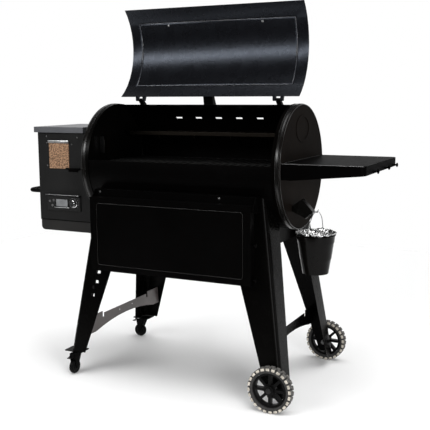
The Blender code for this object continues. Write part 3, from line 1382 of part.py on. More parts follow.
def make_control_panel():
    panel = boxes("control_panel", ((PANEL_X[0], panel_front, PANEL_Z[0]),
                                    (PANEL_X[1], panel_back, PANEL_Z[1])))
    add_part(panel, "grey_plastic", root)
    brow = boxes("panel_brow", ((PANEL_X[0], panel_front - PANEL_BROW, PANEL_Z[1] - PANEL_BROW_THICK),
                                (PANEL_X[1], panel_front + PANEL_THICK / 2, PANEL_Z[1])))
    boolean(panel, brow, "UNION")
    window = boxes("window_cutter", ((DISPLAY_X[0] - GAP, panel_front - PANEL_THICK, DISPLAY_Z[0] - GAP),
                                     (DISPLAY_X[1] + GAP, panel_front + PANEL_THICK / 2, DISPLAY_Z[1] + GAP)))
    boolean(panel, window, "DIFFERENCE")
    runs = [((x, panel_front - PANEL_THICK, z), (x, panel_front + PANEL_THICK * 0.75, z), BUTTON_R + GAP)
            for x, z in BUTTONS.values()]
    boolean(panel, rods("button_cutter", *runs, segments=12), "DIFFERENCE")
    spindle = rods("knob_spindle", ((KNOB_X, panel_front + PANEL_THICK / 2, KNOB_Z),
                                    (KNOB_X, panel_front - SPINDLE, KNOB_Z), SPINDLE_R), segments=10)
    boolean(panel, spindle, "UNION")
    window_glass = boxes("display_window", ((DISPLAY_X[0], panel_front - DISPLAY_PROUD, DISPLAY_Z[0]),
                                            (DISPLAY_X[1], panel_front + PANEL_THICK / 2 - GAP,
                                             DISPLAY_Z[1])))
    add_part(window_glass, "screen", root)
    bevel(window_glass, DISPLAY_PROUD / 2)


def make_buttons():
    for name, (x, z) in BUTTONS.items():
        seat = panel_front + PANEL_THICK * 0.75 - GAP - BUTTON_TRAVEL
        axis = new_empty(name + "_axis", root, (x, seat, z), (pi / 2, 0.0, 0.0))
        height = seat - panel_front + BUTTON_PROUD
        shoulder = height - BUTTON_PROUD / 4
        profile = [(0.0, height), (BUTTON_R * 0.7, height), (BUTTON_R, shoulder), (BUTTON_R, 0.0), (0.0, 0.0)]
        add_part(turned(name, profile, 12), "grey_plastic", axis)


def make_knob():
    axis = new_empty("knob_axis", root, (KNOB_X, panel_front - GAP, KNOB_Z), (pi / 2, 0.0, 0.0))
    bore = SPINDLE_R + GAP
    depth = SPINDLE + 2 * GAP
    profile = [(0.0, KNOB_HEIGHT), (KNOB_R * 0.72, KNOB_HEIGHT), (KNOB_R * 0.8, KNOB_HEIGHT - KNOB_MARK),
               (KNOB_R * 0.86, KNOB_SKIRT * 1.5), (KNOB_R, KNOB_SKIRT), (KNOB_R, 0.0), (bore, 0.0),
               (bore, depth),
               (0.0, depth)]
    knob = add_part(turned("control_knob", profile, 20), "chrome", axis)
    half = KNOB_MARK / 2
    mark = boxes("knob_mark_cutter", ((-half, KNOB_R * 0.3, KNOB_HEIGHT - KNOB_MARK * 0.75),
                                      (half, KNOB_R, KNOB_HEIGHT + KNOB_MARK)))
    boolean(knob, mark, "DIFFERENCE")


def make_plaque():
    low = (PLAQUE_X[0], PLAQUE_Z[0])
    high = (PLAQUE_X[1], PLAQUE_Z[1])
    lay = Matrix.Translation((0.0, HOPPER_FRONT_Y - GAP - PLAQUE_THICK / 2, 0.0)) @ XZ_PLATE
    plaque = plate("front_plaque", rectangle(low, high, PLAQUE_ROUND, 3), PLAQUE_THICK, lay)
    add_part(plaque, "copper_brown", root)
    back = HOPPER_FRONT_Y - GAP
    lip = boxes("plaque_lip", ((PLAQUE_X[0] + PLAQUE_LIP_INSET, back - PLAQUE_LIP_OUT, PLAQUE_Z[1] - GAP),
                               (PLAQUE_X[1] - PLAQUE_LIP_INSET, back, PLAQUE_Z[1] + PLAQUE_LIP)))
    boolean(plaque, lip, "UNION")


def make_hopper_handle():
    wall = HOPPER_LEFT - GAP
    front = arc((GRIP_OUT + GRIP_R + GRIP_BEND, GRIP_Y[0] + GRIP_BEND), GRIP_BEND, 270.0, 180.0, 4)
    rear = arc((GRIP_OUT + GRIP_R + GRIP_BEND, GRIP_Y[1] - GRIP_BEND), GRIP_BEND, 180.0, 90.0, 4)
    run = [(wall, GRIP_Y[0]), *front, *rear, (wall, GRIP_Y[1])]
    add_part(tube("hopper_handle", [(x, y, GRIP_Z) for x, y in run], GRIP_R, 3), "black_coat", root)


def make_power_inlet():
    half_x = INLET_SIZE[0] / 2
    half_z = INLET_SIZE[1] / 2
    back = HOPPER_BACK_Y + GAP
    inlet = boxes("power_inlet", ((INLET_X - half_x, back, INLET_Z - half_z),
                                  (INLET_X + half_x, back + INLET_PROUD, INLET_Z + half_z)))
    add_part(inlet, "black_plastic", root)
    bevel(inlet, INLET_PROUD / 3)
    recess = boxes("inlet_cutter", ((INLET_X - half_x * 0.6, back + INLET_PROUD / 3, INLET_Z - half_z * 0.6),
                                    (INLET_X + half_x * 0.6, back + 2 * INLET_PROUD, INLET_Z + half_z * 0.6)))
    boolean(inlet, recess, "DIFFERENCE")


# Pellet feed and fan

def make_auger_tube():
    start = AUGER_START + GAP
    end = POT_X - sqrt(POT_R ** 2 - AUGER_TUBE_R ** 2) + POT_WALL / 2
    outer = AUGER_TUBE_R
    inner = AUGER_TUBE_R - AUGER_TUBE_WALL
    length = end - start
    ring = [(outer, length), (outer, 0.0), (inner, 0.0), (inner, length)]
    place = Matrix.Translation((start, 0.0, AUGER_Z)) @ ALONG_X
    duct = add_part(turned("auger_tube", ring, 18, place, ring=True), "steel", root)
    outlet = bin_outlet()
    slot = boxes("feed_slot_cutter", ((outlet[0][0] - start, outlet[0][1], 0.0),
                                      (outlet[1][0] - start, outlet[1][1], 2 * AUGER_TUBE_R)))
    slot.location = (start, 0.0, AUGER_Z)
    boolean(duct, slot, "DIFFERENCE")


def make_auger():
    """A screw flight wound on its core, driven by the motor at its left end."""
    start = AUGER_START + 2 * GAP
    end = POT_X - POT_R - AUGER_MARGIN
    axis = new_empty("auger_axis", root, (start, 0.0, AUGER_Z), ALONG_X.to_euler())
    length = end - start
    reach = AUGER_TUBE_R - AUGER_TUBE_WALL - RUN
    steps = AUGER_TURN_COUNT * 6

    def place(u, v):
        turn = 2 * pi * AUGER_TURN_COUNT * u
        radius = blend(AUGER_CORE_R * 0.7, reach, v)
        rise = blend(AUGER_MARGIN, length - AUGER_MARGIN, u)
        return (radius * cos(turn), radius * sin(turn), rise)

    screw = sheet("auger", steps, 1, place)
    add_part(screw, "steel", axis)
    solidify(screw, AUGER_FLIGHT, 0.0)
    boolean(screw, rods("auger_core", ((0.0, 0.0, 0.0), (0.0, 0.0, length), AUGER_CORE_R), segments=6),
            "UNION")


def make_auger_motor():
    left = HOPPER_LEFT + SHEET + GAP
    half = MOTOR_SIDE / 2
    motor = boxes("auger_motor", ((left, -half, AUGER_Z - half), (AUGER_START, half, AUGER_Z + half)))
    add_part(motor, "steel", root)
    bevel(motor, MOTOR_SIDE / 12)


def make_fan_rotor():
    floor = HOPPER_BOTTOM_Z - BASE_HEIGHT + SHEET + FAN_STAND + GAP
    axis = new_empty("fan_axis", root, (FAN_X, FAN_Y, floor))
    bore = FAN_PIN_R + GAP
    ring = [(FAN_HUB_R, FAN_HEIGHT), (FAN_HUB_R, 0.0), (bore, 0.0), (bore, FAN_HEIGHT)]
    rotor = add_part(turned("fan_rotor", ring, 12, ring=True), "black_plastic", axis)
    blades = None
    for index in range(BLADE_COUNT):
        blade = boxes("fan_blades", ((FAN_HUB_R * 0.8, -FAN_HEIGHT * 0.55, -BLADE_THICK / 2),
                                     (FAN_R, FAN_HEIGHT * 0.55, BLADE_THICK / 2)))
        lift = Matrix.Translation((0.0, 0.0, FAN_HEIGHT / 2))
        blade.data.transform(Matrix.Rotation(2 * pi * index / BLADE_COUNT, 4, "Z") @ lift
                             @ Matrix.Rotation(radians(40), 4, "X"))
        blades = join_into(blades, blade)
    boolean(rotor, blades, "UNION")


# Grease chute and bucket

def make_grease_chute():
    """A flat spout that slopes down from the drain in the end cap, with a hook at its tip for the bucket."""
    face = CAP_FACE + GAP
    foot = Vector((face, CHUTE_Z))
    crest, lip, toe = [foot + Vector(offset) for offset in (CHUTE_CREST, CHUTE_LIP, CHUTE_TOE)]
    side = [tuple(foot), tuple(toe), tuple(lip), tuple(crest), (face, CHUTE_Z + CHUTE_MOUTH)]
    lay = Matrix.Translation((0.0, GREASE_Y, 0.0)) @ XZ_PLATE
    chute = add_part(plate("grease_chute", side, CHUTE_WIDTH, lay), "black_coat", root)
    top = (lip - crest).normalized()
    floor = (toe - foot).normalized()
    top_in = Vector((top.y, -top.x)) * SHEET
    floor_in = Vector((-floor.y, floor.x)) * SHEET
    past = CHUTE_WIDTH
    hollow = [tuple(point) for point in (foot + floor_in - floor * past, toe + floor_in + floor * past,
                                         lip + top_in + top * past, crest + top_in - top * past)]
    boolean(chute, plate("chute_hollow_cutter", hollow, CHUTE_WIDTH - 2 * SHEET, lay), "DIFFERENCE")
    rest = BAIL_TOP_Z - 2 * BAIL_R - GAP - BAIL_R / 4
    under = rest - SHEET * 1.2
    first = BUCKET_X - HOOK_SEAT[0]
    last = BUCKET_X + HOOK_SEAT[1]
    horn = BUCKET_X + HOOK_HORN_OUT
    held = lip - top * 3 * HOOK_TAB
    hook = [tuple(held + top_in / 2), tuple(lip + top_in / 2), (first, rest), (last, rest),
            (horn, rest + HOOK_HORN),
            (horn + SHEET, rest + HOOK_HORN), (last + SHEET, under), (first - GAP, under),
            tuple(held + 3 * top_in)]
    boolean(chute, plate("chute_hook", hook, HOOK_TAB, lay), "UNION")


bucket_axis = new_empty("bucket_axis", root, (BUCKET_X, GREASE_Y, BAIL_TOP_Z - BAIL_R))
bucket_rim = BUCKET_RIM_Z - (BAIL_TOP_Z - BAIL_R)
bucket_floor = bucket_rim - BUCKET_HEIGHT


def bucket_radius(z):
    return blend(BUCKET_BASE_D / 2, BUCKET_RIM_D / 2, (z - bucket_floor) / BUCKET_HEIGHT)


def make_bucket():
    low = bucket_floor + BUCKET_WALL
    beads = []
    for share in BUCKET_RIB_AT:
        z = blend(bucket_floor, bucket_rim, share)
        radius = bucket_radius(z)
        beads += [(radius + BUCKET_RIB, z + 2 * BUCKET_RIB), (radius - BUCKET_RIB / 3, z - 2 * BUCKET_RIB)]
    rim = bucket_radius(bucket_rim)
    profile = [(0.0, low), (bucket_radius(low) - BUCKET_WALL, low), (rim - BUCKET_WALL, bucket_rim),
               (rim + BUCKET_BEAD * 0.8, bucket_rim), (rim + BUCKET_BEAD, bucket_rim - 2 * BUCKET_BEAD),
               (rim - BUCKET_WALL, bucket_rim - 3 * BUCKET_BEAD), *beads, (BUCKET_BASE_D / 2, bucket_floor),
               (0.0, bucket_floor)]
    bucket = add_part(turned("grease_bucket", profile, BUCKET_SIDE_COUNT), "black_coat", bucket_axis)
    ears = None
    for side in (-1, 1):
        y = side * (rim + BUCKET_BEAD + EAR_THICK / 2)
        z = ear_height()
        foot = z - EAR_REACH
        outline = [*arc((0.0, z), EAR_R, 0.0, 180.0, 6), (-EAR_R, foot), (EAR_R, foot)]
        lay = Matrix.Translation((0.0, y - side * EAR_THICK * 0.4, 0.0)) @ XZ_PLATE
        ear = plate("bucket_ears", outline, EAR_THICK * 1.8, lay, holes=[circle((0.0, z), BAIL_R + GAP, 10)])
        ears = join_into(ears, ear)
    boolean(bucket, ears, "UNION")


def ear_height():
    return bucket_rim + EAR_RISE


def make_bail():
    """A wire arch whose ends turn in through the ears."""
    spread = BUCKET_RIM_D / 2 + EAR_REACH
    low = ear_height()
    arch = [(spread * cos(pi * i / 14), low - low * sin(pi * i / 14)) for i in range(1, 14)]
    inner = spread - EAR_REACH + BAIL_R / 2
    run = [(inner, low), (spread - BAIL_BEND, low), (spread, low + BAIL_BEND), *arch[1:-1],
           (-spread, low + BAIL_BEND),
           (-spread + BAIL_BEND, low), (-inner, low)]
    add_part(tube("bucket_bail", [(0.0, y, z) for y, z in run], BAIL_R, 2), "steel", bucket_axis)


def make_liner():
    """A foil cup inside the bucket whose crimped edge stands above the rim."""
    low = bucket_floor + BUCKET_WALL + GAP
    heights = [low, low, blend(low, bucket_rim, 0.5), bucket_rim - EAR_RISE, bucket_rim + LINER_RISE]
    segments = BUCKET_SIDE_COUNT

    def place(u, v):
        row = round(v * (len(heights) - 1))
        turn = 2 * pi * round(u * segments) / segments
        z = heights[row]
        radius = 0.0 if row == 0 else bucket_radius(z) - BUCKET_WALL - 2 * GAP
        if row == len(heights) - 1:
            wave = LINER_WAVE * sin(LINER_WAVE_COUNT * turn)
            radius = bucket_radius(bucket_rim) - BUCKET_WALL - 2 * LINER_WAVE - GAP + wave
        return (radius * cos(turn), radius * sin(turn), z)

    solidify(add_part(sheet("bucket_liner", segments, len(heights) - 1, place), "foil", bucket_axis),
             LINER_WALL, -1.0)


make_barrel_shell()
make_end_caps()
make_lid_panel()
make_lid_handle()
make_lid_hinges()
make_lid_stop()
make_cooking_grates()
make_upper_rack()
make_heat_baffle()
make_fire_pot()
make_temperature_probe()
make_legs()
make_front_rail()
make_saddles()
make_side_braces()
make_wheel_axles()
make_wheel("front", -1)
make_wheel("rear", 1)
make_caster_plates()
make_caster("front", -1, -pi / 2)
make_caster("rear", 1, pi)
make_side_shelf()
make_front_shelf()
make_hopper_body()
make_hopper_base()
make_pellet_bin()
make_hopper_lid()
make_control_panel()
make_buttons()
make_knob()
make_plaque()
make_hopper_handle()
make_power_inlet()
make_auger_tube()
make_auger()
make_auger_motor()
make_fan_rotor()
make_grease_chute()
make_bucket()
make_bail()
make_liner()
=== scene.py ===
import math

import bmesh
import bpy
from mathutils import Matrix, Vector


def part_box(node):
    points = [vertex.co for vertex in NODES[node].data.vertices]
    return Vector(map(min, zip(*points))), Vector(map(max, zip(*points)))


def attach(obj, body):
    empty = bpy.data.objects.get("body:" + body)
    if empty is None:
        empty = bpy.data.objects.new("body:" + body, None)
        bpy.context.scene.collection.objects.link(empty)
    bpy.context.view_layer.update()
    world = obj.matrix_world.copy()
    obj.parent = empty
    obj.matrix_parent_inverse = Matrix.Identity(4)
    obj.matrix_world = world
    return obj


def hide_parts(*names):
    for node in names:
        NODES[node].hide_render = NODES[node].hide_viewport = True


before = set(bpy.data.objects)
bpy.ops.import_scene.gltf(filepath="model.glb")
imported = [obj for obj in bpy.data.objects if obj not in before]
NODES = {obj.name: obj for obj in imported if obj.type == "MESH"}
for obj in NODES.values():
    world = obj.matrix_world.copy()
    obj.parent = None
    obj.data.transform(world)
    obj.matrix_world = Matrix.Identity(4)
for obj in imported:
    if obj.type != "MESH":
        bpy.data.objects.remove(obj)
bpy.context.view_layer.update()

SHIFT_X = 0.020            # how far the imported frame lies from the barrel's own middle
WELD = 0.00002

# How the CAD nodes are smoothed and how far their edges are rounded
SMOOTH_DEG = 32.0
EDGE_ROUND = 0.0006
EDGE_STEPS = 2
EDGE_DEG = 50.0
WIDE_EDGE = 0.0014
WIDE_EDGED = ("front_shelf", "front_rail", "side_shelf", "hopper_lid", "hopper_body")

# Noise: the part of its range that is used, and the sizes of a coat's marks
NOISE_LOW = 0.3
NOISE_HIGH = 0.7
BLOTCH_SCALE = 3.0
WEAR_SCALE = 18.0
PEEL_HEIGHT = 0.0004

# Camera, fitted to the photograph
CAMERA_AT = Vector((1.7127 + SHIFT_X, -3.3753, 1.3563))
CAMERA_YAW = math.radians(25.84)
CAMERA_PITCH = math.radians(8.577)
CAMERA_ROLL = math.radians(-0.308)
CAMERA_LENS = 65.70
CAMERA_SENSOR = 36.0
CAMERA_CLIP = (0.05, 200.0)
CAMERA_SHIFT = (-0.0056, -0.0056)

# Floor, backdrop and light
BACKDROP_TOWARDS = (-0.43, 0.90, 0.0)
# Least and most strength, and where along the direction each is reached
BACKDROP_GLOSS = (0.03, 1.0, 0.45, 0.95)
ROOM_LIGHT = (0.05, 0.55, -0.1, 0.9)
FLOOR_COLOUR = (0.84, 0.84, 0.84, 1.0)
FLOOR_GLOW = 0.02
FLOOR_CORNERS = ((-3.2, -1.7), (3.2, -1.7), (3.2, 3.4), (-3.2, 3.4))
OVERHEAD = ((0.17, -0.04, 1.0), 56.0, 2.9)     # direction, spread in degrees, strength
LAMPS = (                                      # name, place, target, size, power
    ("front_light", (-1.9, -3.6, 2.75), (0.0, 0.1, 1.5), (3.6, 0.8), 112.0),
    ("right_light", (3.2, 0.2, 0.5), (0.4, 0.0, 0.4), (1.4, 0.8), 5.0),
    ("streak_light", (2.7, -2.5, 1.2), (0.4, -0.2, 0.9), (1.0, 2.2), 76.0),
)

# Sizes in metres, with x from the middle of the barrel
BARREL_AXIS_Z = 1.027
SHELL_IN_R = 0.2795
CAP_FACE = 0.51
LID_IN_R = 0.2875
LID_AXIS_Y = 0.04921
LID_AXIS_Z = 1.33084
LID_OPEN_DEG = 136.0
PANEL_BROW = 0.014
FRONT = (0.0, -1.0, 0.0)
LEFT = (-1.0, 0.0, 0.0)
RIGHT = (1.0, 0.0, 0.0)

# How the edges of added pieces are shaded
PIECE_SMOOTH_DEG = 40.0
RIM_SMOOTH_DEG = 60.0
WIRE_SMOOTH_DEG = 70.0
FOIL_SMOOTH_DEG = 25.0

# A screw: shares of its radius and height
SCREW_PROFILE = ((0.0, 0.55), (0.34, 0.55), (0.38, 1.0), (0.62, 0.94), (0.9, 0.62), (1.0, 0.3),
                 (1.0, 0.18), (1.3, 0.14), (1.32, -0.1), (0.0, -0.1))
SCREW_HEIGHT = 0.7
SCREW_SEGMENTS = 20
SCREW_SINK = 0.0002

# Tyres and hub caps
TYRE_DEPTH = 0.024
TYRE_SEGMENTS = 64
# Offsets of the carcass from its bed and from its tread, each with a share of the half width
CARCASS_BED = ((0.0, 0.80), (0.004, 0.93), (0.010, 0.96))
CARCASS_TREAD = ((0.0085, 0.80), (0.0062, 0.45))
LUG_COUNT = 24
LUG_STAGGER = 0.25
# Depths of a lug's foot and top, share of the pitch, shares of the half width, rounding
SHOULDER_LUG = (0.0135, 0.0022, 0.62, 0.74, 1.0, 0.0030)
TREAD_LUG = (0.0090, 0.0004, 0.70, 0.06, 0.78, 0.0018)
HUB_CAP = ((0.0, 0.0042), (0.005, 0.0038), (0.0085, 0.0026), (0.0095, 0.001), (0.0115, 0.0006),
           (0.0115, -0.003), (0.0, -0.003))
HUB_CAP_SEGMENTS = 28

# End cap bands: each ridge has its inset from the face, its growth past the band and its wire radius
CAP_RIDGES = ((0.0015, -0.0035, 0.0022), (0.0075, -0.0004, 0.0011), (0.0245, -0.0003, 0.0010))
CAP_RING_POINTS = 8
CAP_SEGMENTS = 96
CAP_SLEEVE_AT = 0.016
CAP_SLEEVE_WIDTH = 0.0115
# Growth past the band and share of the half width
SLEEVE_PROFILE = ((-0.0004, 1.0), (0.0005, 1.0), (0.0009, 0.5), (0.0009, -0.5), (0.0005, -1.0),
                  (-0.0004, -1.0))

# Lid
HANDLE_DEG = 69.0
HANDLE_SPACING = 0.507
LID_BOLT_R = 0.0047
LID_BEAD_DEG = (6.58, 71.83)
LID_BEAD_X = 0.42
LID_BEAD_SINK = 0.0008
LID_BEAD_R = 0.0021
LID_BEAD_ACROSS = 24
LID_BEAD_ROUNDS = 16

# Shelves
SHELF_BEAD_X = 0.3725
SHELF_BEAD_INSET = 0.0285
SHELF_BEAD_TURN = 0.012
SHELF_BEAD_R = 0.0011
BEND_STEPS = 4
SHELF_EDGE_Y = -0.2735
SHELF_EDGE_SINK = 0.0004
SHELF_EDGE_ENDS = (0.004, 0.028)
SHELF_EDGE_R = 0.0013
TAB_COUNT = 14
TAB_FIRST_Y = -0.235
TAB_PITCH = 0.034

# Hopper and controls
HOPPER_SCREWS = ((-0.780, 1.119), (-0.628, 1.115), (-0.780, 1.006), (-0.782, 1.152), (-0.594, 1.148))
HOPPER_SCREW_R = 0.0034
SIDE_SCREW_INSET = 0.03
SIDE_SCREW_Z = (0.75, 0.90, 1.05, 1.15)
DISPLAY_EDGE = 0.0045
DISPLAY_GAP = 0.0006
DISPLAY_LAP = 0.0012
DISPLAY_OUT = 0.0030
DISPLAY_SINK = 0.0004
DISPLAY_ROUND = 0.0010
KNOB_MARK_COUNT = 11
KNOB_MARK_FIRST = -135.0
KNOB_MARK_STEP = 27.0
KNOB_MARK_LONG_EVERY = 5
KNOB_MARK_START = 0.0250
KNOB_MARK_LONG = 0.0295
KNOB_MARK_SHORT = 0.0280
KNOB_MARK_HALF = 0.0006
KNOB_MARK_SINK = 0.0003
KNOB_MARK_RISE = 0.0004
KNOB_MARK_ROUND = 0.00025

# Boxes fitted between two points: offset of the low corner, offset of the high corner, rounding
SHELF_TAB = ((0.0008, 0.0, -0.0004), (0.006, 0.021, 0.0012), 0.0006)
HOPPER_SEAM_SHADOW = ((0.001, -0.0008, -0.0012), (-0.001, 0.002, 0.0020), 0.0005)
PLAQUE_LIP_HIGHLIGHT = ((-0.003, -0.0024, -0.012), (0.003, 0.0004, 0.001), 0.0009)
CATCH_LEDGE = ((-0.664, -0.008, 0.990), (-0.580, 0.0004, 0.9985), 0.0012)
CATCH_TONGUE = ((-0.650, -0.004, 0.978), (-0.594, 0.0004, 0.9905), 0.0012)
DISPLAY_LIP = ((-0.010, -0.0075, 0.7955), (0.012, 0.0004, 0.7990), 0.0012)
BROW_TRIM = ((0.0, -0.0006, -0.0016), (0.0, 0.0020, 0.0006), 0.0005)
GUARD_FACE = ((0.001, -0.004, -0.003), (0.026, -0.002, 0.003), 0.0007)
GUARD_SIDE = ((0.0245, -0.004, 0.012), (0.0265, 0.012, -0.012), 0.0007)

# Rack wires, with their bend as offsets back and up from the rack's front
RACK_WIRE_X = (-0.30, -0.10, 0.10, 0.30)
RACK_WIRE_INSET = 0.018
RACK_WIRE_BEND = ((0.0, 0.0005), (0.0, -0.012), (0.016, -0.020))
RACK_WIRE_DROP = 0.060
RACK_WIRE_GAP = 0.003
RACK_WIRE_R = 0.0028

# Rail bolts
RAIL_BOLTS = ((-0.3875, -0.3082, 0.9045), (0.2354, -0.3082, 0.9045))
RAIL_BOLT_R = 0.0052

# Foil: its foot is a share of the rim's radius, its base rows are shares of the foot
FOIL_SEGMENTS = 72
FOIL_FOOT = 0.62
FOIL_RIM_DROP = 0.001
FOIL_LIFT = 0.002
FOIL_BASE = (0.0, 0.6, 1.0)
# Rows of its wall: share of the cone's radius, share of the height
FOIL_WALL = ((1.0, 0.35), (1.0, 0.7), (1.0, 0.93), (1.02, 0.985), (1.05, 1.0), (1.07, 0.99),
             (1.074, 0.972))
FOIL_CRUMPLED_FROM = 5      # the first row of the crumpled edge
# Waves round it: size, count, start, turn per row
FOIL_FOLDS = ((0.5, 7, 0.6, 0.0), (0.35, 17, 0.0, 1.3), (0.3, 29, 0.0, 0.9))
FOIL_RIPPLES = ((0.0018, 11, 0.0, 2.0), (0.0014, 5, 0.7, 0.0))
FOIL_WALL_FOLD = 0.0012
FOIL_EDGE_FOLD = 0.0022
FOIL_THICK = 0.0006


def add_node(tree, kind, **values):
    """A shader node with its properties and its unlinked inputs set by name."""
    node = tree.nodes.new(kind)
    for key, value in values.items():
        if key in node.inputs:
            node.inputs[key].default_value = value
        else:
            setattr(node, key, value)
    return node


def object_place(tree, stretch=(1.0, 1.0, 1.0)):
    """Object coordinates, stretched along the axes."""
    place = add_node(tree, "ShaderNodeTexCoord")
    mapping = add_node(tree, "ShaderNodeMapping")
    mapping.inputs["Scale"].default_value = stretch
    tree.links.new(place.outputs["Object"], mapping.inputs["Vector"])
    return mapping.outputs["Vector"]


def noise(tree, place, scale, detail=3.0, rough=0.55):
    """A cloudy factor from 0 to 1."""
    node = add_node(tree, "ShaderNodeTexNoise", Scale=scale, Detail=detail, Roughness=rough)
    tree.links.new(place, node.inputs["Vector"])
    return node.outputs["Fac"]


def cells(tree, place, scale):
    """The distance to the nearest of scattered points."""
    node = add_node(tree, "ShaderNodeTexVoronoi", feature="F1", Scale=scale)
    tree.links.new(place, node.inputs["Vector"])
    return node.outputs["Distance"]


def ramp(tree, factor, stops):
    """A colour ramp over a factor; stops are (position, colour)."""
    node = add_node(tree, "ShaderNodeValToRGB")
    points = node.color_ramp.elements
    while len(points) < len(stops):
        points.new(0.5)
    for point, (position, colour) in zip(points, stops):
        point.position = position
        point.color = (*colour, 1.0)
    tree.links.new(factor, node.inputs["Fac"])
    return node.outputs["Color"]


def remap(tree, factor, low, high, start=NOISE_LOW, end=NOISE_HIGH):
    """A factor that runs from start to end, spread over low to high."""
    node = add_node(tree, "ShaderNodeMapRange")
    node.inputs["From Min"].default_value = start
    node.inputs["From Max"].default_value = end
    node.inputs["To Min"].default_value = low
    node.inputs["To Max"].default_value = high
    tree.links.new(factor, node.inputs["Value"])
    return node.outputs["Result"]


def bump(tree, height, strength, depth, under=None):
    """A normal bent by a height, over another bump where one is given."""
    node = add_node(tree, "ShaderNodeBump", Strength=strength, Distance=depth)
    tree.links.new(height, node.inputs["Height"])
    if under is not None:
        tree.links.new(under, node.inputs["Normal"])
    return node.outputs["Normal"]


def blend(tree, kind, first, second):
    """Two colours combined in full, by ADD or MULTIPLY."""
    mix = add_node(tree, "ShaderNodeMix", data_type="RGBA", blend_type=kind)
    mix.inputs["Factor"].default_value = 1.0
    tree.links.new(first, mix.inputs["A"])
    tree.links.new(second, mix.inputs["B"])
    return mix.outputs["Result"]


def shader(name, **values):
    """A material with a Principled shader whose plain sockets are set; returns material, tree, shader."""
    material = bpy.data.materials.new(name)
    material.use_nodes = True
    tree = material.node_tree
    surface = tree.nodes["Principled BSDF"]
    for key, value in values.items():
        surface.inputs[key.replace("_", " ")].default_value = value
    return material, tree, surface


def scaled(colour, factor):
    """A lighter or darker shade of a colour."""
    return tuple(c * factor for c in colour)


def painted_shade_round_x(tree, tone):
    """Painted shade: darkens what doesn't face along X, such as the band round an end cap."""
    place = add_node(tree, "ShaderNodeTexCoord")
    split = add_node(tree, "ShaderNodeSeparateXYZ")
    tree.links.new(place.outputs["Normal"], split.inputs["Vector"])
    size = add_node(tree, "ShaderNodeMath", operation="ABSOLUTE")
    tree.links.new(split.outputs["X"], size.inputs[0])
    shade = remap(tree, size.outputs["Value"], low=0.12, high=1.0, start=0.3, end=0.8)
    return blend(tree, "MULTIPLY", tone, shade)


def coat(name, colour, rough, peel, peel_depth, spread=0.35, glint_specks=None, band=False, **values):
    """Powder coat with orange peel and a faint unevenness.

    Where a scale, a colour and a reach are given for its specks, it has fine bright grains: the coat's
    flecks and their glints, painted into its colour.
    """
    material, tree, surface = shader(name, **values)
    place = object_place(tree)
    uneven = noise(tree, place, BLOTCH_SCALE, detail=4.0)
    dark, light = scaled(colour, 1 - spread), scaled(colour, 1 + spread)
    tone = ramp(tree, uneven, [(NOISE_LOW, dark), (NOISE_HIGH, light)])
    # Bright grains added to the colour: the coat's flecks, each with a painted glint.
    if glint_specks:
        speck_scale, glint_colour, speck_reach = glint_specks
        grains = cells(tree, place, speck_scale)
        painted_glints = ramp(tree, grains, [(0.0, glint_colour), (speck_reach, (0.0, 0.0, 0.0))])
        tone = blend(tree, "ADD", tone, painted_glints)
    # Where the band is asked for, what doesn't face along X is darkened: painted shade on the end cap's
    # band.
    if band:
        tone = painted_shade_round_x(tree, tone)
    tree.links.new(tone, surface.inputs["Base Color"])
    wear = noise(tree, place, WEAR_SCALE)
    tree.links.new(remap(tree, wear, rough - 0.02, rough + 0.03), surface.inputs["Roughness"])
    grain = noise(tree, place, peel, detail=2.0)
    tree.links.new(bump(tree, grain, peel_depth, PEEL_HEIGHT), surface.inputs["Normal"])
    return material


def metal(name, colour, rough, stretch, scale):
    """Worked metal with fine marks that run one way."""
    material, tree, surface = shader(name, Metallic=1.0)
    lines = noise(tree, object_place(tree, stretch), scale, detail=4.0)
    tone = ramp(tree, lines, [(NOISE_LOW, scaled(colour, 0.8)), (NOISE_HIGH, scaled(colour, 1.12))])
    tree.links.new(tone, surface.inputs["Base Color"])
    tree.links.new(remap(tree, lines, rough - 0.08, rough + 0.1), surface.inputs["Roughness"])
    tree.links.new(bump(tree, lines, strength=0.12, depth=0.0003), surface.inputs["Normal"])
    return material


def foil(name, colour, rough):
    """Crumpled foil: flat facets meeting in sharp folds."""
    material, tree, surface = shader(name, Metallic=1.0)
    place = object_place(tree)
    folds = cells(tree, place, scale=70.0)
    fine = cells(tree, place, scale=190.0)
    coarse = bump(tree, folds, strength=0.8, depth=0.004)
    tree.links.new(bump(tree, fine, strength=0.5, depth=0.0015, under=coarse), surface.inputs["Normal"])
    tone = ramp(tree, folds, [(0.1, scaled(colour, 0.75)), (0.6, colour)])
    tree.links.new(tone, surface.inputs["Base Color"])
    tree.links.new(remap(tree, fine, rough - 0.05, rough + 0.1), surface.inputs["Roughness"])
    return material


def tyre_rubber(name, light, dark):
    """Moulded rubber with scuffed, dustier patches."""
    material, tree, surface = shader(name)
    place = object_place(tree)
    dust = noise(tree, place, scale=60.0, detail=5.0, rough=0.65)
    tree.links.new(ramp(tree, dust, [(0.38, dark), (0.6, light)]), surface.inputs["Base Color"])
    tree.links.new(remap(tree, dust, low=0.62, high=0.85), surface.inputs["Roughness"])
    grain = noise(tree, place, scale=420.0)
    tree.links.new(bump(tree, grain, strength=0.35, depth=0.0006), surface.inputs["Normal"])
    return material


def plaque_metal(name, light, dark):
    """Copper brown plate with a worked, mottled face."""
    material, tree, surface = shader(name, Metallic=0.3)
    place = object_place(tree)
    worn = noise(tree, place, scale=150.0, detail=2.0, rough=0.5)
    tree.links.new(ramp(tree, worn, [(0.42, dark), (0.56, light)]), surface.inputs["Base Color"])
    tree.links.new(remap(tree, worn, low=0.34, high=0.55), surface.inputs["Roughness"])
    pits = cells(tree, place, scale=260.0)
    tree.links.new(bump(tree, pits, strength=0.25, depth=0.0005), surface.inputs["Normal"])
    return material


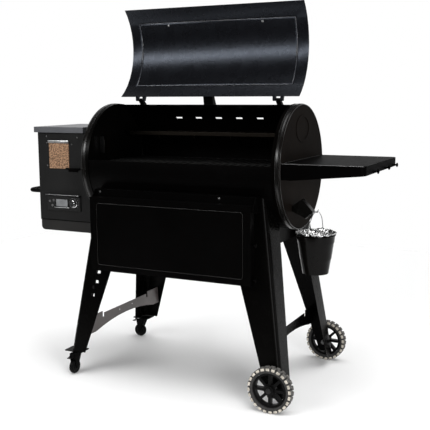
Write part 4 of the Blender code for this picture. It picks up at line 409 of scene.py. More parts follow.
def window(name, colour):
    """Dark gloss window with a faint haze."""
    material, tree, surface = shader(name)
    haze = noise(tree, object_place(tree), scale=25.0)
    tone = ramp(tree, haze, [(NOISE_LOW, scaled(colour, 0.8)), (NOISE_HIGH, scaled(colour, 1.3))])
    tree.links.new(tone, surface.inputs["Base Color"])
    tree.links.new(remap(tree, haze, low=0.06, high=0.12), surface.inputs["Roughness"])
    return material


# Coats of the frame, the barrel and the lid
BLACK = coat("black_coat", (0.0008, 0.0007, 0.0007), rough=0.36, peel=700.0, peel_depth=0.25,
             glint_specks=(650.0, (0.0030, 0.0027, 0.0024), 0.12), Specular_IOR_Level=0.03)
SHELF = coat("shelf_coat", (0.0007, 0.0006, 0.0006), rough=0.50, peel=500.0, peel_depth=0.35,
             glint_specks=(500.0, (0.006, 0.0055, 0.005), 0.12), Specular_IOR_Level=0.010)
LEG = coat("leg_coat", (0.0014, 0.0013, 0.0012), rough=0.26, peel=700.0, peel_depth=0.10,
           glint_specks=(650.0, (0.004, 0.0036, 0.0033), 0.12), Specular_IOR_Level=0.035)
# The left side brace's coat is far lighter than the black coat: a painted reflection of the pale floor and
# backdrop; the right brace keeps the leg coat.
BRACE_PAINTED_REFLECTION = coat("brace_painted_reflection_coat", (0.075, 0.063, 0.061), rough=0.34, peel=700.0, peel_depth=0.18,
             Specular_IOR_Level=0.45)
# The right end cap's coat: its face is painted lighter than the black coat as painted light and barely
# shines; its band is darkened again as painted shade.
CAP_PAINTED_LIGHT = coat("black_cap_painted_light", (0.0078, 0.0060, 0.0050), rough=0.50, peel=520.0, peel_depth=0.38,
           glint_specks=(430.0, (0.030, 0.026, 0.023), 0.16), band=True, Specular_IOR_Level=0.008)
CAP_EDGE = coat("black_cap_edge", (0.0030, 0.0026, 0.0023), rough=0.24, peel=520.0, peel_depth=0.15,
                Specular_IOR_Level=0.35)
LID = coat("charcoal_coat", (0.0034, 0.0034, 0.0042), rough=0.27, peel=420.0, peel_depth=0.5, spread=0.15,
           glint_specks=(330.0, (0.016, 0.017, 0.022), 0.2), Specular_IOR_Level=0.32,
           Specular_Tint=(0.74, 0.83, 1.0, 1.0))
# The lid's bead is far lighter than the lid's coat: a painted highlight along it.
LID_BEAD_PAINTED_HIGHLIGHT = coat("charcoal_bead_painted_highlight", (0.055, 0.058, 0.068), rough=0.20, peel=300.0, peel_depth=0.1,
                Specular_IOR_Level=1.0)
# The side shelf's edge bead is far lighter than the shelf's coat: a painted highlight along its front edge.
SHELF_EDGE_PAINTED_HIGHLIGHT = coat("shelf_edge_painted_highlight", (0.05, 0.05, 0.05), rough=0.18, peel=500.0, peel_depth=0.1,
                  Specular_IOR_Level=1.0)
CHUTE = coat("chute_gloss", (0.002, 0.0018, 0.0016), rough=0.14, peel=400.0, peel_depth=0.1,
             Specular_IOR_Level=0.3)
BUCKET = coat("bucket_gloss", (0.0022, 0.0020, 0.0018), rough=0.18, peel=240.0, peel_depth=0.10,
              Specular_IOR_Level=0.08)
IRON = coat("cast_iron", (0.004, 0.004, 0.0038), rough=0.55, peel=300.0, peel_depth=0.5,
            Specular_IOR_Level=0.2)

# Coats of the hopper and plastics
HOPPER = coat("hopper_coat", (0.0095, 0.0095, 0.0095), rough=0.42, peel=620.0, peel_depth=0.25,
              Specular_IOR_Level=0.14)
HOPPER_LOW = coat("hopper_base_coat", (0.013, 0.0125, 0.012), rough=0.45, peel=260.0, peel_depth=0.5,
                  glint_specks=(240.0, (0.014, 0.013, 0.012), 0.2), Specular_IOR_Level=0.22)
SLATE = coat("slate_coat", (0.105, 0.108, 0.118), rough=0.42, peel=500.0, peel_depth=0.18, spread=0.15,
             Metallic=0.4)
PANEL = coat("panel_coat", (0.0095, 0.0095, 0.0095), rough=0.40, peel=620.0, peel_depth=0.25,
             Specular_IOR_Level=0.25)
GREY_PLASTIC = coat("grey_plastic", (0.060, 0.059, 0.060), rough=0.45, peel=900.0, peel_depth=0.2,
                    spread=0.12)
BLACK_PLASTIC = coat("black_plastic", (0.0045, 0.0045, 0.0045), rough=0.42, peel=800.0, peel_depth=0.25,
                     Specular_IOR_Level=0.2)
HUB = coat("hub_plastic", (0.0022, 0.0022, 0.0022), rough=0.40, peel=800.0, peel_depth=0.25,
           Specular_IOR_Level=0.07)
MARK = coat("dial_marks", (0.34, 0.34, 0.34), rough=0.5, peel=900.0, peel_depth=0.1, spread=0.1)
SCREEN = window("screen", (0.19, 0.195, 0.20))

# Metals and rubber
STEEL = metal("steel", (0.46, 0.46, 0.47), rough=0.36, stretch=(3.0, 40.0, 40.0), scale=12.0)
DULL_STEEL = metal("dull_steel", (0.0125, 0.0105, 0.0085), rough=0.46, stretch=(3.0, 40.0, 40.0),
                   scale=12.0)
SCREW = metal("screw_steel", (0.14, 0.14, 0.14), rough=0.35, stretch=(60.0, 60.0, 60.0), scale=9.0)
GALVANISED = metal("galvanised", (0.62, 0.62, 0.62), rough=0.34, stretch=(12.0, 12.0, 12.0), scale=9.0)
CHROME = metal("chrome", (0.55, 0.55, 0.56), rough=0.14, stretch=(30.0, 30.0, 30.0), scale=6.0)
FOIL = foil("foil", (0.64, 0.64, 0.64), rough=0.24)
COPPER = plaque_metal("copper_brown", (0.42, 0.250, 0.147), (0.115, 0.064, 0.036))
TYRE = tyre_rubber("tyre_rubber", (0.56, 0.52, 0.45), (0.30, 0.275, 0.235))
TREAD = tyre_rubber("tyre_tread", (0.10, 0.096, 0.09), (0.045, 0.043, 0.04))
TYRE_DARK = tyre_rubber("tyre_carcass", (0.022, 0.021, 0.020), (0.010, 0.0095, 0.009))

# Finish of each CAD node; those not named are black
FINISH = {
    "end_cap_left": LEG, "end_cap_right": CAP_PAINTED_LIGHT,
    "leg_front_left": LEG, "leg_front_right": LEG, "leg_rear_left": LEG, "leg_rear_right": LEG,
    "side_brace_left": BRACE_PAINTED_REFLECTION, "side_brace_right": LEG, "side_shelf": SHELF, "grease_chute": CHUTE,
    "lid_panel": LID, "hopper_body": HOPPER, "hopper_base": HOPPER_LOW, "hopper_lid": SLATE,
    "front_plaque": COPPER, "control_panel": PANEL, "display_window": SCREEN,
    "button_left": GREY_PLASTIC, "button_right": GREY_PLASTIC, "button_low": GREY_PLASTIC,
    "control_knob": CHROME, "lid_handle": STEEL, "upper_rack": DULL_STEEL, "heat_baffle": DULL_STEEL,
    "temperature_probe": DULL_STEEL, "wheel_axle_front": SCREW, "wheel_axle_rear": SCREW,
    "front_caster_fork": LEG, "rear_caster_fork": LEG,
    "pellet_bin": STEEL, "auger_tube": STEEL, "auger": STEEL, "auger_motor": STEEL,
    "bucket_bail": GALVANISED, "bucket_liner": FOIL, "grease_bucket": BUCKET,
    "cooking_grate_left": IRON, "cooking_grate_right": IRON, "fire_pot": IRON,
    "front_hub": HUB, "rear_hub": HUB, "front_caster_wheel": HUB, "rear_caster_wheel": HUB,
    "front_caster_brake": HUB, "rear_caster_brake": HUB,
    "power_inlet": BLACK_PLASTIC, "fan_rotor": BLACK_PLASTIC,
    "front_tyre": TYRE, "rear_tyre": TYRE,
}


def smoothing_group():
    """Geometry nodes that weld a faceted solid and shade it smooth apart from its real edges."""
    group = bpy.data.node_groups.new("smooth_by_angle", "GeometryNodeTree")
    group.interface.new_socket("Geometry", in_out="INPUT", socket_type="NodeSocketGeometry")
    group.interface.new_socket("Geometry", in_out="OUTPUT", socket_type="NodeSocketGeometry")
    first = group.nodes.new("NodeGroupInput")
    last = group.nodes.new("NodeGroupOutput")
    weld = add_node(group, "GeometryNodeMergeByDistance", Distance=WELD)
    angle = add_node(group, "GeometryNodeInputMeshEdgeAngle")
    under = add_node(group, "FunctionNodeCompare", data_type="FLOAT", operation="LESS_THAN")
    under.inputs["B"].default_value = math.radians(SMOOTH_DEG)
    faces = add_node(group, "GeometryNodeSetShadeSmooth", domain="FACE")
    edges = add_node(group, "GeometryNodeSetShadeSmooth", domain="EDGE")
    link = group.links.new
    link(first.outputs["Geometry"], weld.inputs["Geometry"])
    link(weld.outputs["Geometry"], faces.inputs["Geometry"])
    link(faces.outputs["Geometry"], edges.inputs["Geometry"])
    link(angle.outputs["Unsigned Angle"], under.inputs["A"])
    link(under.outputs["Result"], edges.inputs["Shade Smooth"])
    link(edges.outputs["Geometry"], last.inputs["Geometry"])
    return group


def soften(node):
    """Welds and smooths a CAD node and rounds its edges a little, without touching its own mesh points."""
    if "custom_normal" in node.data.attributes:
        node.data.attributes.remove(node.data.attributes["custom_normal"])
    weld = node.modifiers.new("Weld", "WELD")
    weld.merge_threshold = WELD
    edge = node.modifiers.new("Bevel", "BEVEL")
    edge.width = WIDE_EDGE if node.name in WIDE_EDGED else EDGE_ROUND
    edge.segments = EDGE_STEPS
    edge.limit_method = "ANGLE"
    edge.angle_limit = math.radians(EDGE_DEG)
    edge.harden_normals = False
    shade = node.modifiers.new("Smooth", "NODES")
    shade.node_group = SMOOTHING
    even = node.modifiers.new("Weighted", "WEIGHTED_NORMAL")
    even.keep_sharp = True


SMOOTHING = smoothing_group()
for node_name, node_object in NODES.items():
    node_object.data.materials.clear()
    node_object.data.materials.append(FINISH.get(node_name, BLACK))
    soften(node_object)


# Added pieces

def ring_at(bm, place, radius, height, segments):
    """A ring of points about local Z, or a single point where the radius is none."""
    if radius < WELD:
        return [bm.verts.new(place @ Vector((0.0, 0.0, height)))]
    turns = [2 * math.pi * i / segments for i in range(segments)]
    return [bm.verts.new(place @ Vector((radius * math.cos(t), radius * math.sin(t), height)))
            for t in turns]


def add_lathe(bm, profile, segments, place, finish=0):
    """A solid of revolution about local Z through (radius, height) points.

    It closes on its axis, or as a ring where neither end meets the axis.
    """
    rings = [ring_at(bm, place, radius, height, segments) for radius, height in profile]
    pairs = list(zip(rings, rings[1:]))
    if len(rings[0]) > 1 and len(rings[-1]) > 1:
        pairs.append((rings[-1], rings[0]))
    for low, high in pairs:
        for i in range(segments):
            j = (i + 1) % segments
            if len(low) == 1:
                corners = (low[0], high[j], high[i])
            elif len(high) == 1:
                corners = (low[i], low[j], high[0])
            else:
                corners = (low[i], low[j], high[j], high[i])
            bm.faces.new(corners).material_index = finish


def add_block(bm, low, high, rounding, place=Matrix(), finish=0, steps=2):
    """A box with rounded edges between two corners."""
    made = bmesh.ops.create_cube(bm, size=1.0)["verts"]
    size = [h - l for l, h in zip(low, high)]
    middle = Vector([(h + l) / 2 for l, h in zip(low, high)])
    for vert in made:
        vert.co = middle + Vector([c * s for c, s in zip(vert.co, size)])
    edges = list({edge for vert in made for edge in vert.link_edges})
    bevelled = bmesh.ops.bevel(bm, geom=edges, offset=rounding, segments=steps, affect="EDGES", profile=0.5)
    verts = set(bevelled["verts"]) | {v for v in made if v.is_valid}
    faces = {face for vert in verts for face in vert.link_faces}
    for vert in verts:
        vert.co = place @ vert.co
    for face in faces:
        face.material_index = finish


def add_fitted(bm, first, second, shape):
    """A rounded box between two points, each moved by its own offset."""
    start, end, rounding = shape
    add_block(bm, [p + o for p, o in zip(first, start)], [p + o for p, o in zip(second, end)], rounding)


def add_tube(bm, points, radius, segments=8):
    """A round wire through the points, with flat ends."""
    points = [Vector(p) for p in points]
    rings = []
    side = None
    for i, point in enumerate(points):
        ahead = (points[min(i + 1, len(points) - 1)] - points[max(i - 1, 0)]).normalized()
        if side is None:
            side = ahead.orthogonal().normalized()
        side = (side - ahead * side.dot(ahead)).normalized()
        other = ahead.cross(side)
        rings.append([bm.verts.new(point + (side * math.cos(t) + other * math.sin(t)) * radius)
                      for t in (2 * math.pi * k / segments for k in range(segments))])
    for low, high in zip(rings, rings[1:]):
        for k in range(segments):
            j = (k + 1) % segments
            bm.faces.new((low[k], low[j], high[j], high[k]))
    bm.faces.new(rings[0][::-1])
    bm.faces.new(rings[-1])


def place_piece(name, body, bm, finishes, smooth_deg=PIECE_SMOOTH_DEG):
    """Turns a bmesh into a piece that rides on a body."""
    bmesh.ops.recalc_face_normals(bm, faces=bm.faces)
    mesh = bpy.data.meshes.new(name)
    bm.to_mesh(mesh)
    bm.free()
    for finish in finishes:
        mesh.materials.append(finish)
    for face in mesh.polygons:
        face.use_smooth = True
    mesh.set_sharp_from_angle(angle=math.radians(smooth_deg))
    piece = bpy.data.objects.new(name, mesh)
    bpy.context.scene.collection.objects.link(piece)
    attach(piece, body)
    return piece


def facing(at, towards):
    """A placement whose local Z points along towards."""
    turn = Vector(towards).to_track_quat("Z", "Y").to_matrix().to_4x4()
    return Matrix.Translation(Vector(at)) @ turn


def add_screw(bm, place, radius):
    """A domed head on a washer, with a socket in the middle."""
    high = radius * SCREW_HEIGHT
    add_lathe(bm, [(radius * r, high * h) for r, h in SCREW_PROFILE], SCREW_SEGMENTS, place)


def barrel_point(radius, degrees):
    """Y and Z on a circle round the barrel's axis; 0 degrees is the top and the front is positive."""
    turn = math.radians(degrees)
    return -radius * math.sin(turn), BARREL_AXIS_Z + radius * math.cos(turn)


def lid_place(radius, degrees, x):
    """A place on the open lid, local Z towards its hollow side."""
    y, z = barrel_point(radius, degrees)
    shut = Matrix.Translation((0.0, LID_AXIS_Y, LID_AXIS_Z))
    turn = shut @ Matrix.Rotation(math.radians(-LID_OPEN_DEG), 4, "X") @ shut.inverted()
    inward = Vector((0.0, -y, BARREL_AXIS_Z - z))
    return turn @ facing((x + SHIFT_X, y, z), inward)


def add_lug(bm, radius, wide, half, shape, place, finish, steps):
    """One block of a tyre, in depths from the tread and shares of the pitch and the half width."""
    foot, top, share, near, far, rounding = shape
    add_block(bm, (radius - foot, -wide * share, half * near), (radius - top, wide * share, half * far),
              rounding, place, finish, steps)


def make_tyre(side):
    """A dark carcass with two rows of pale blocks on its shoulders and a staggered row between."""
    low, high = [Vector(c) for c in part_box(side + "_tyre")]
    radius = (high.z - low.z) / 2
    half = (high.y - low.y) / 2
    place = facing((low + high) / 2, FRONT)
    bm = bmesh.new()
    bed = radius - TYRE_DEPTH
    skirt = [(bed + rise, half * share) for rise, share in CARCASS_BED]
    skirt += [(radius - depth, half * share) for depth, share in CARCASS_TREAD]
    add_lathe(bm, skirt + [(r, -h) for r, h in reversed(skirt)], TYRE_SEGMENTS, place, finish=1)
    step = 2 * math.pi / LUG_COUNT
    wide = radius * step / 2
    for index in range(LUG_COUNT):
        for row in (-1, 1):
            turn = Matrix.Rotation(step * (index + LUG_STAGGER * row), 4, "Z")
            flip = place @ turn @ Matrix.Diagonal((1.0, 1.0, row, 1.0))
            add_lug(bm, radius, wide, half, SHOULDER_LUG, flip, finish=0, steps=3)
            add_lug(bm, radius, wide, half, TREAD_LUG, flip, finish=2, steps=2)
    tyre = place_piece(side + "_lugged_tyre", side + "_wheel", bm, [TYRE, TYRE_DARK, TREAD])
    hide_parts(side + "_tyre")


def make_hub_cap(side, sign):
    """A domed cap with rings over the outer end of an axle."""
    low, high = [Vector(c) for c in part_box("wheel_axle_" + side)]
    outer = low.y if sign < 0 else high.y
    bm = bmesh.new()
    place = facing(((low.x + high.x) / 2, outer, (low.z + high.z) / 2), (0.0, sign, 0.0))
    add_lathe(bm, HUB_CAP, HUB_CAP_SEGMENTS, place)
    place_piece(side + "_hub_cap", "frame", bm, [BLACK_PLASTIC])


def make_cap_rims():
    """The rolled edge of each end cap, the two pressed ridges on its band and the sleeve between them."""
    turns = [2 * math.pi * k / CAP_RING_POINTS for k in range(CAP_RING_POINTS)]
    half = CAP_SLEEVE_WIDTH / 2
    for name, sign in (("left", -1), ("right", 1)):
        bm = bmesh.new()
        low, high = [Vector(c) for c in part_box("end_cap_" + name)]
        outer = (high.z - low.z) / 2
        for inset, grow, wire in CAP_RIDGES:
            place = facing((sign * (CAP_FACE - inset) + SHIFT_X, 0.0, BARREL_AXIS_Z), RIGHT)
            ring = [(outer + grow + wire * math.cos(t), wire * math.sin(t)) for t in turns]
            add_lathe(bm, ring, CAP_SEGMENTS, place)
        place = facing((sign * (CAP_FACE - CAP_SLEEVE_AT) + SHIFT_X, 0.0, BARREL_AXIS_Z), RIGHT)
        add_lathe(bm, [(outer + grow, half * share) for grow, share in SLEEVE_PROFILE], CAP_SEGMENTS, place)
        place_piece("cap_rim_" + name, "frame", bm, [CAP_EDGE], RIM_SMOOTH_DEG)


def make_lid_bolts():
    """The ends of the handle's bolts, seen on the hollow side of the lid."""
    bm = bmesh.new()
    for sign in (-1, 1):
        add_screw(bm, lid_place(LID_IN_R, HANDLE_DEG, sign * HANDLE_SPACING / 2), LID_BOLT_R)
    place_piece("lid_handle_bolts", "lid", bm, [GALVANISED])


def make_lid_bead():
    """The pressed bead that frames the hollow side of the lid, coloured far lighter than the lid as a
    painted highlight.
    """
    low, high = LID_BEAD_DEG
    across, rounds = LID_BEAD_ACROSS, LID_BEAD_ROUNDS
    path = [(low, -LID_BEAD_X + 2 * LID_BEAD_X * i / across) for i in range(across + 1)]
    path += [(low + (high - low) * i / rounds, LID_BEAD_X) for i in range(1, rounds + 1)]
    path += [(high, LID_BEAD_X - 2 * LID_BEAD_X * i / across) for i in range(1, across + 1)]
    path += [(high - (high - low) * i / rounds, -LID_BEAD_X) for i in range(1, rounds + 1)]
    bm = bmesh.new()
    add_tube(bm, [lid_place(LID_IN_R + LID_BEAD_SINK, turn, x).translation for turn, x in path], LID_BEAD_R)
    place_piece("lid_bead", "lid", bm, [LID_BEAD_PAINTED_HIGHLIGHT], WIRE_SMOOTH_DEG)


def make_shelf_bead():
    """The bead that frames the face of the folding shelf."""
    low, high = [Vector(c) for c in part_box("front_shelf")]
    wide, turn = SHELF_BEAD_X, SHELF_BEAD_TURN
    bottom, top = (low.z + SHELF_BEAD_INSET, high.z - SHELF_BEAD_INSET)
    path = []
    for x, z, start in ((wide, top, 0), (-wide, top, 90), (-wide, bottom, 180), (wide, bottom, 270)):
        centre = (x - math.copysign(turn, x), z - turn if z == top else z + turn)
        for k in range(BEND_STEPS + 1):
            angle = math.radians(start + 90 * k / BEND_STEPS)
            path.append((SHIFT_X + centre[0] + turn * math.cos(angle), low.y,
                         centre[1] + turn * math.sin(angle)))
    path.append(path[0])
    bm = bmesh.new()
    add_tube(bm, path, SHELF_BEAD_R)
    place_piece("front_shelf_bead", "front_shelf", bm, [CAP_EDGE], WIRE_SMOOTH_DEG)


def make_shelf_flange():
    """The row of small tabs that join the side shelf to the end cap."""
    low, high = [Vector(c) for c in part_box("side_shelf")]
    bm = bmesh.new()
    for index in range(TAB_COUNT):
        corner = (low.x, TAB_FIRST_Y + index * TAB_PITCH, high.z)
        add_fitted(bm, corner, corner, SHELF_TAB)
    place_piece("shelf_flange", "frame", bm, [SCREW])


def make_side_shelf_bead():
    """The rolled front edge of the side shelf, coloured far lighter than the shelf as a painted highlight.
    """
    low, high = [Vector(c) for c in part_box("side_shelf")]
    z = high.z - SHELF_EDGE_SINK
    ends = (low.x + SHELF_EDGE_ENDS[0], high.x - SHELF_EDGE_ENDS[1])
    bm = bmesh.new()
    add_tube(bm, [(x, SHELF_EDGE_Y, z) for x in ends], SHELF_EDGE_R)
    place_piece("side_shelf_bead", "frame", bm, [SHELF_EDGE_PAINTED_HIGHLIGHT], WIRE_SMOOTH_DEG)


def make_hopper_screws():
    """Screws on the front and the left side of the hopper."""
    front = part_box("front_plaque")[1][1] - SCREW_SINK
    bm = bmesh.new()
    for x, z in HOPPER_SCREWS:
        add_screw(bm, facing((x + SHIFT_X, front, z), FRONT), HOPPER_SCREW_R)
    place_piece("hopper_screws", "frame", bm, [SCREW])
    low, high = [Vector(c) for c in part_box("hopper_body")]
    bm = bmesh.new()
    for y in (low.y + SIDE_SCREW_INSET, high.y - SIDE_SCREW_INSET):
        for z in SIDE_SCREW_Z:
            add_screw(bm, facing((low.x + SCREW_SINK, y, z), LEFT), HOPPER_SCREW_R)
    place_piece("hopper_side_screws", "frame", bm, [SCREW])


def make_hopper_seam_shadow():
    """A dark strip that stands just proud along the joint between the hopper and its base: painted shadow
    in the joint.
    """
    low, high = [Vector(c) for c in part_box("hopper_body")]
    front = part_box("front_plaque")[1][1]
    bm = bmesh.new()
    add_fitted(bm, (low.x, front, low.z), (high.x, front, low.z), HOPPER_SEAM_SHADOW)
    place_piece("hopper_seam_painted_shadow", "frame", bm, [BLACK])


def make_plaque_highlight_and_catch():
    """The lip that holds the plaque at its top, drawn as a bright metal bar that is a painted highlight on
    its fold, and the catch below it.
    """
    low, high = [Vector(c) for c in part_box("front_plaque")]
    bm = bmesh.new()
    # A bright metal bar along the lip: a painted highlight on the plaque's fold.
    add_fitted(bm, (low.x, low.y, high.z), (high.x, low.y, high.z), PLAQUE_LIP_HIGHLIGHT)
    place_piece("plaque_lip_painted_highlight", "frame", bm, [GALVANISED])
    bm = bmesh.new()
    wall = (SHIFT_X, high.y, 0.0)
    add_fitted(bm, wall, wall, CATCH_LEDGE)
    add_fitted(bm, wall, wall, CATCH_TONGUE)
    place_piece("plaque_catch", "frame", bm, [BLACK])


def make_display_frame(low, high, front):
    """Four rails round the display."""
    out, gap, lap = DISPLAY_EDGE, DISPLAY_GAP, DISPLAY_LAP
    rails = ((low.x - out, low.z - out, high.x + out, low.z - gap),
             (low.x - out, high.z + gap, high.x + out, high.z + out),
             (low.x - out, low.z - lap, low.x - gap, high.z + lap),
             (high.x + gap, low.z - lap, high.x + out, high.z + lap))
    bm = bmesh.new()
    for x, z, x_end, z_end in rails:
        add_block(bm, (x, front - DISPLAY_OUT, z), (x_end, front + DISPLAY_SINK, z_end), DISPLAY_ROUND)
    place_piece("display_frame", "frame", bm, [BLACK_PLASTIC])


def make_knob_marks(front):
    """The marks round the knob, each fifth one longer."""
    low, high = [Vector(c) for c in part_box("control_knob")]
    middle = facing(((low.x + high.x) / 2, front, (low.z + high.z) / 2), FRONT)
    bm = bmesh.new()
    for index in range(KNOB_MARK_COUNT):
        turn = Matrix.Rotation(math.radians(KNOB_MARK_FIRST + KNOB_MARK_STEP * index), 4, "Z")
        reach = KNOB_MARK_LONG if index % KNOB_MARK_LONG_EVERY == 0 else KNOB_MARK_SHORT
        add_block(bm, (-KNOB_MARK_HALF, KNOB_MARK_START, -KNOB_MARK_SINK),
                  (KNOB_MARK_HALF, reach, KNOB_MARK_RISE), KNOB_MARK_ROUND, middle @ turn)
    place_piece("knob_marks", "frame", bm, [MARK])


def make_control_trim():
    """The frame round the display and the lip below it, the trim of the panel's brow, the knob's marks."""
    low, high = [Vector(c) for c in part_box("display_window")]
    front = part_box("control_panel")[0][1] + PANEL_BROW
    make_display_frame(low, high, front)
    bm = bmesh.new()
    add_fitted(bm, (low.x, front, 0.0), (high.x, front, 0.0), DISPLAY_LIP)
    place_piece("display_lip", "frame", bm, [STEEL])
    low, high = [Vector(c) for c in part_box("control_panel")]
    bm = bmesh.new()
    add_fitted(bm, (low.x, low.y, high.z), (high.x, low.y, high.z), BROW_TRIM)
    place_piece("panel_brow_trim", "frame", bm, [STEEL])
    make_knob_marks(front)


def make_rack_supports():
    """Bent wires that carry the upper rack on the back wall."""
    low, _ = [Vector(c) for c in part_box("upper_rack")]
    front = low.y + RACK_WIRE_INSET
    wall_z = low.z - RACK_WIRE_DROP
    wall_y = math.sqrt(SHELL_IN_R ** 2 - (wall_z - BARREL_AXIS_Z) ** 2) - RACK_WIRE_GAP
    path = [(front + back, low.z + rise) for back, rise in RACK_WIRE_BEND] + [(wall_y, wall_z)]
    bm = bmesh.new()
    for x in RACK_WIRE_X:
        add_tube(bm, [(x + SHIFT_X, y, z) for y, z in path], RACK_WIRE_R)
    place_piece("rack_supports", "frame", bm, [DULL_STEEL])


def make_probe_guard():
    """A bent strip that shields the temperature probe."""
    low, high = [Vector(c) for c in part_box("temperature_probe")]
    top = (low.x, low.y, high.z)
    bm = bmesh.new()
    add_fitted(bm, low, top, GUARD_FACE)
    add_fitted(bm, low, top, GUARD_SIDE)
    place_piece("probe_guard", "frame", bm, [SCREW])


def make_rail_bolts():
    """Bolts along the front rail."""
    bm = bmesh.new()
    for x, y, z in RAIL_BOLTS:
        add_screw(bm, facing((x + SHIFT_X, y, z), FRONT), RAIL_BOLT_R)
    place_piece("leg_bolts", "frame", bm, [SCREW])


def waves(turn, row, parts):
    """The sum of waves round a circle, each turned a little from row to row."""
    return sum(size * math.sin(count * turn + start + drift * row) for size, count, start, drift in parts)


def make_foil():
    """Crumpled foil that lines the bucket and folds over its rim."""
    low, high = [Vector(c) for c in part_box("bucket_liner")]
    middle = (low + high) / 2
    rim = (high.x - low.x) / 2
    foot = rim * FOIL_FOOT
    tall = high.z - FOIL_RIM_DROP - low.z
    turns = [2 * math.pi * k / FOIL_SEGMENTS for k in range(FOIL_SEGMENTS)]
    bm = bmesh.new()

    def point(radius, turn, z):
        return bm.verts.new((middle.x + radius * math.cos(turn), middle.y + radius * math.sin(turn), z))

    rings = [[point(foot * share, turn, low.z + FOIL_LIFT) for turn in turns] for share in FOIL_BASE]
    for row, (share, level) in enumerate(FOIL_WALL, len(FOIL_BASE)):
        ring = []
        for turn in turns:
            fold = waves(turn, row, FOIL_FOLDS)
            radius = (foot + (rim - foot) * level) * share + FOIL_WALL_FOLD * fold
            z = low.z + tall * level
            if row >= FOIL_CRUMPLED_FROM:
                radius += FOIL_EDGE_FOLD * fold
                z += waves(turn, row, FOIL_RIPPLES)
            ring.append(point(radius, turn, z))
        rings.append(ring)
    for inner, outer in zip(rings, rings[1:]):
        for k in range(FOIL_SEGMENTS):
            j = (k + 1) % FOIL_SEGMENTS
            bm.faces.new((inner[k], inner[j], outer[j], outer[k]))
    bmesh.ops.remove_doubles(bm, verts=bm.verts, dist=WELD)
    liner = place_piece("crumpled_foil", "bucket", bm, [FOIL], FOIL_SMOOTH_DEG)
    thick = liner.modifiers.new("Thickness", "SOLIDIFY")
    thick.thickness = FOIL_THICK
    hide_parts("bucket_liner")


for wheel_side, wheel_sign in (("front", -1), ("rear", 1)):
    make_tyre(wheel_side)
    make_hub_cap(wheel_side, wheel_sign)
make_cap_rims()
make_lid_bolts()
make_lid_bead()
make_shelf_bead()
make_shelf_flange()
make_side_shelf_bead()
make_hopper_screws()
make_hopper_seam_shadow()
make_plaque_highlight_and_catch()
make_control_trim()
make_rack_supports()
make_probe_guard()
make_rail_bolts()
make_foil()


# Floor, backdrop and light

def larger(tree, first, second):
    """The larger of two factors."""
    node = add_node(tree, "ShaderNodeMath", operation="MAXIMUM")
    tree.links.new(first, node.inputs[0])
    tree.links.new(second, node.inputs[1])
    return node.outputs["Value"]


def light_path_shown(tree):
    """The light path, and 1 for what the camera or a glass sees."""
    path = add_node(tree, "ShaderNodeLightPath")
    shown = larger(tree, path.outputs["Is Camera Ray"], path.outputs["Is Transmission Ray"])
    return path, shown


def make_world():
    """A white backdrop behind, a dim room in front."""
    world = bpy.data.worlds.new("studio")
    bpy.context.scene.world = world
    world.use_nodes = True
    tree = world.node_tree
    tree.nodes.clear()
    out = add_node(tree, "ShaderNodeOutputWorld")
    back = add_node(tree, "ShaderNodeBackground")
    back.inputs["Color"].default_value = (1.0, 1.0, 1.0, 1.0)
    tree.links.new(back.outputs["Background"], out.inputs["Surface"])
    place = add_node(tree, "ShaderNodeTexCoord")
    split = add_node(tree, "ShaderNodeSeparateXYZ")
    tree.links.new(place.outputs["Generated"], split.inputs["Vector"])
    room = remap(tree, split.outputs["Y"], *ROOM_LIGHT)
    path, shown = light_path_shown(tree)
    across = add_node(tree, "ShaderNodeVectorMath", operation="DOT_PRODUCT")
    tree.links.new(place.outputs["Generated"], across.inputs[0])
    across.inputs[1].default_value = BACKDROP_TOWARDS
    gloss = add_node(tree, "ShaderNodeMath", operation="MULTIPLY")
    tree.links.new(path.outputs["Is Glossy Ray"], gloss.inputs[0])
    tree.links.new(remap(tree, across.outputs["Value"], *BACKDROP_GLOSS), gloss.inputs[1])
    seen = larger(tree, shown, gloss.outputs["Value"])
    tree.links.new(larger(tree, room, seen), back.inputs["Strength"])


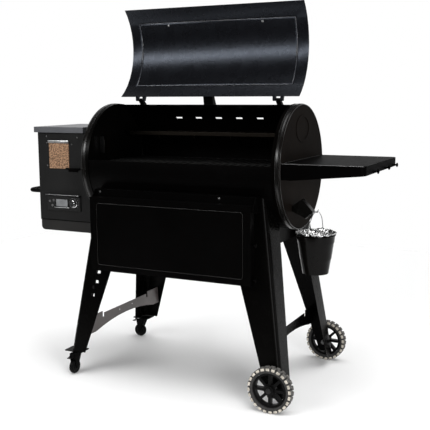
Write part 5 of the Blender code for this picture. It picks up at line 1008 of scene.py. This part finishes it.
def make_floor():
    """A pale floor with a faint glow of its own to the eye."""
    mesh = bpy.data.meshes.new("floor")
    mesh.from_pydata([(x, y, 0.0) for x, y in FLOOR_CORNERS], [], [(0, 1, 2, 3)])
    floor = bpy.data.objects.new("floor", mesh)
    bpy.context.scene.collection.objects.link(floor)
    material = bpy.data.materials.new("floor")
    material.use_nodes = True
    tree = material.node_tree
    tree.nodes.clear()
    out = add_node(tree, "ShaderNodeOutputMaterial")
    plain = add_node(tree, "ShaderNodeBsdfDiffuse")
    plain.inputs["Color"].default_value = FLOOR_COLOUR
    glow = add_node(tree, "ShaderNodeEmission")
    path, shown = light_path_shown(tree)
    seen = larger(tree, shown, path.outputs["Is Glossy Ray"])
    tree.links.new(remap(tree, seen, 0.0, FLOOR_GLOW, 0.0, 1.0), glow.inputs["Strength"])
    both = add_node(tree, "ShaderNodeAddShader")
    tree.links.new(plain.outputs["BSDF"], both.inputs[0])
    tree.links.new(glow.outputs["Emission"], both.inputs[1])
    tree.links.new(both.outputs["Shader"], out.inputs["Surface"])
    mesh.materials.append(material)


def make_lamp(name, at, target, size, power):
    """A soft box that points at a target."""
    lamp = bpy.data.lights.new(name, "AREA")
    lamp.shape = "RECTANGLE"
    lamp.size, lamp.size_y = size
    lamp.energy = power
    holder = bpy.data.objects.new(name, lamp)
    holder.location = at
    holder.rotation_euler = (Vector(target) - Vector(at)).to_track_quat("-Z", "Y").to_euler()
    bpy.context.scene.collection.objects.link(holder)


def make_sky_lamp(name, towards, spread_deg, strength):
    """A broad even light from one direction of the sky."""
    lamp = bpy.data.lights.new(name, "SUN")
    lamp.angle = math.radians(spread_deg)
    lamp.energy = strength
    holder = bpy.data.objects.new(name, lamp)
    holder.rotation_euler = Vector(towards).to_track_quat("Z", "Y").to_euler()
    bpy.context.scene.collection.objects.link(holder)


def make_camera():
    """The camera of the photograph."""
    camera = bpy.data.cameras.new("camera")
    camera.lens = CAMERA_LENS
    camera.sensor_width = CAMERA_SENSOR
    camera.shift_x, camera.shift_y = CAMERA_SHIFT
    camera.clip_start, camera.clip_end = CAMERA_CLIP
    holder = bpy.data.objects.new("camera", camera)
    bpy.context.scene.collection.objects.link(holder)
    ahead = Vector((-math.sin(CAMERA_YAW) * math.cos(CAMERA_PITCH),
                    math.cos(CAMERA_YAW) * math.cos(CAMERA_PITCH), -math.sin(CAMERA_PITCH)))
    right = Vector((math.cos(CAMERA_YAW), math.sin(CAMERA_YAW), 0.0))
    up = right.cross(ahead)
    right_rolled = right * math.cos(CAMERA_ROLL) + up * math.sin(CAMERA_ROLL)
    up_rolled = right_rolled.cross(ahead)
    turn = Matrix((right_rolled, up_rolled, -ahead)).transposed()
    holder.matrix_world = Matrix.Translation(CAMERA_AT) @ turn.to_4x4()
    bpy.context.scene.camera = holder


make_world()
make_floor()
make_sky_lamp("overhead", *OVERHEAD)
for lamp_values in LAMPS:
    make_lamp(*lamp_values)
make_camera()
bpy.context.scene.view_settings.view_transform = "Standard"
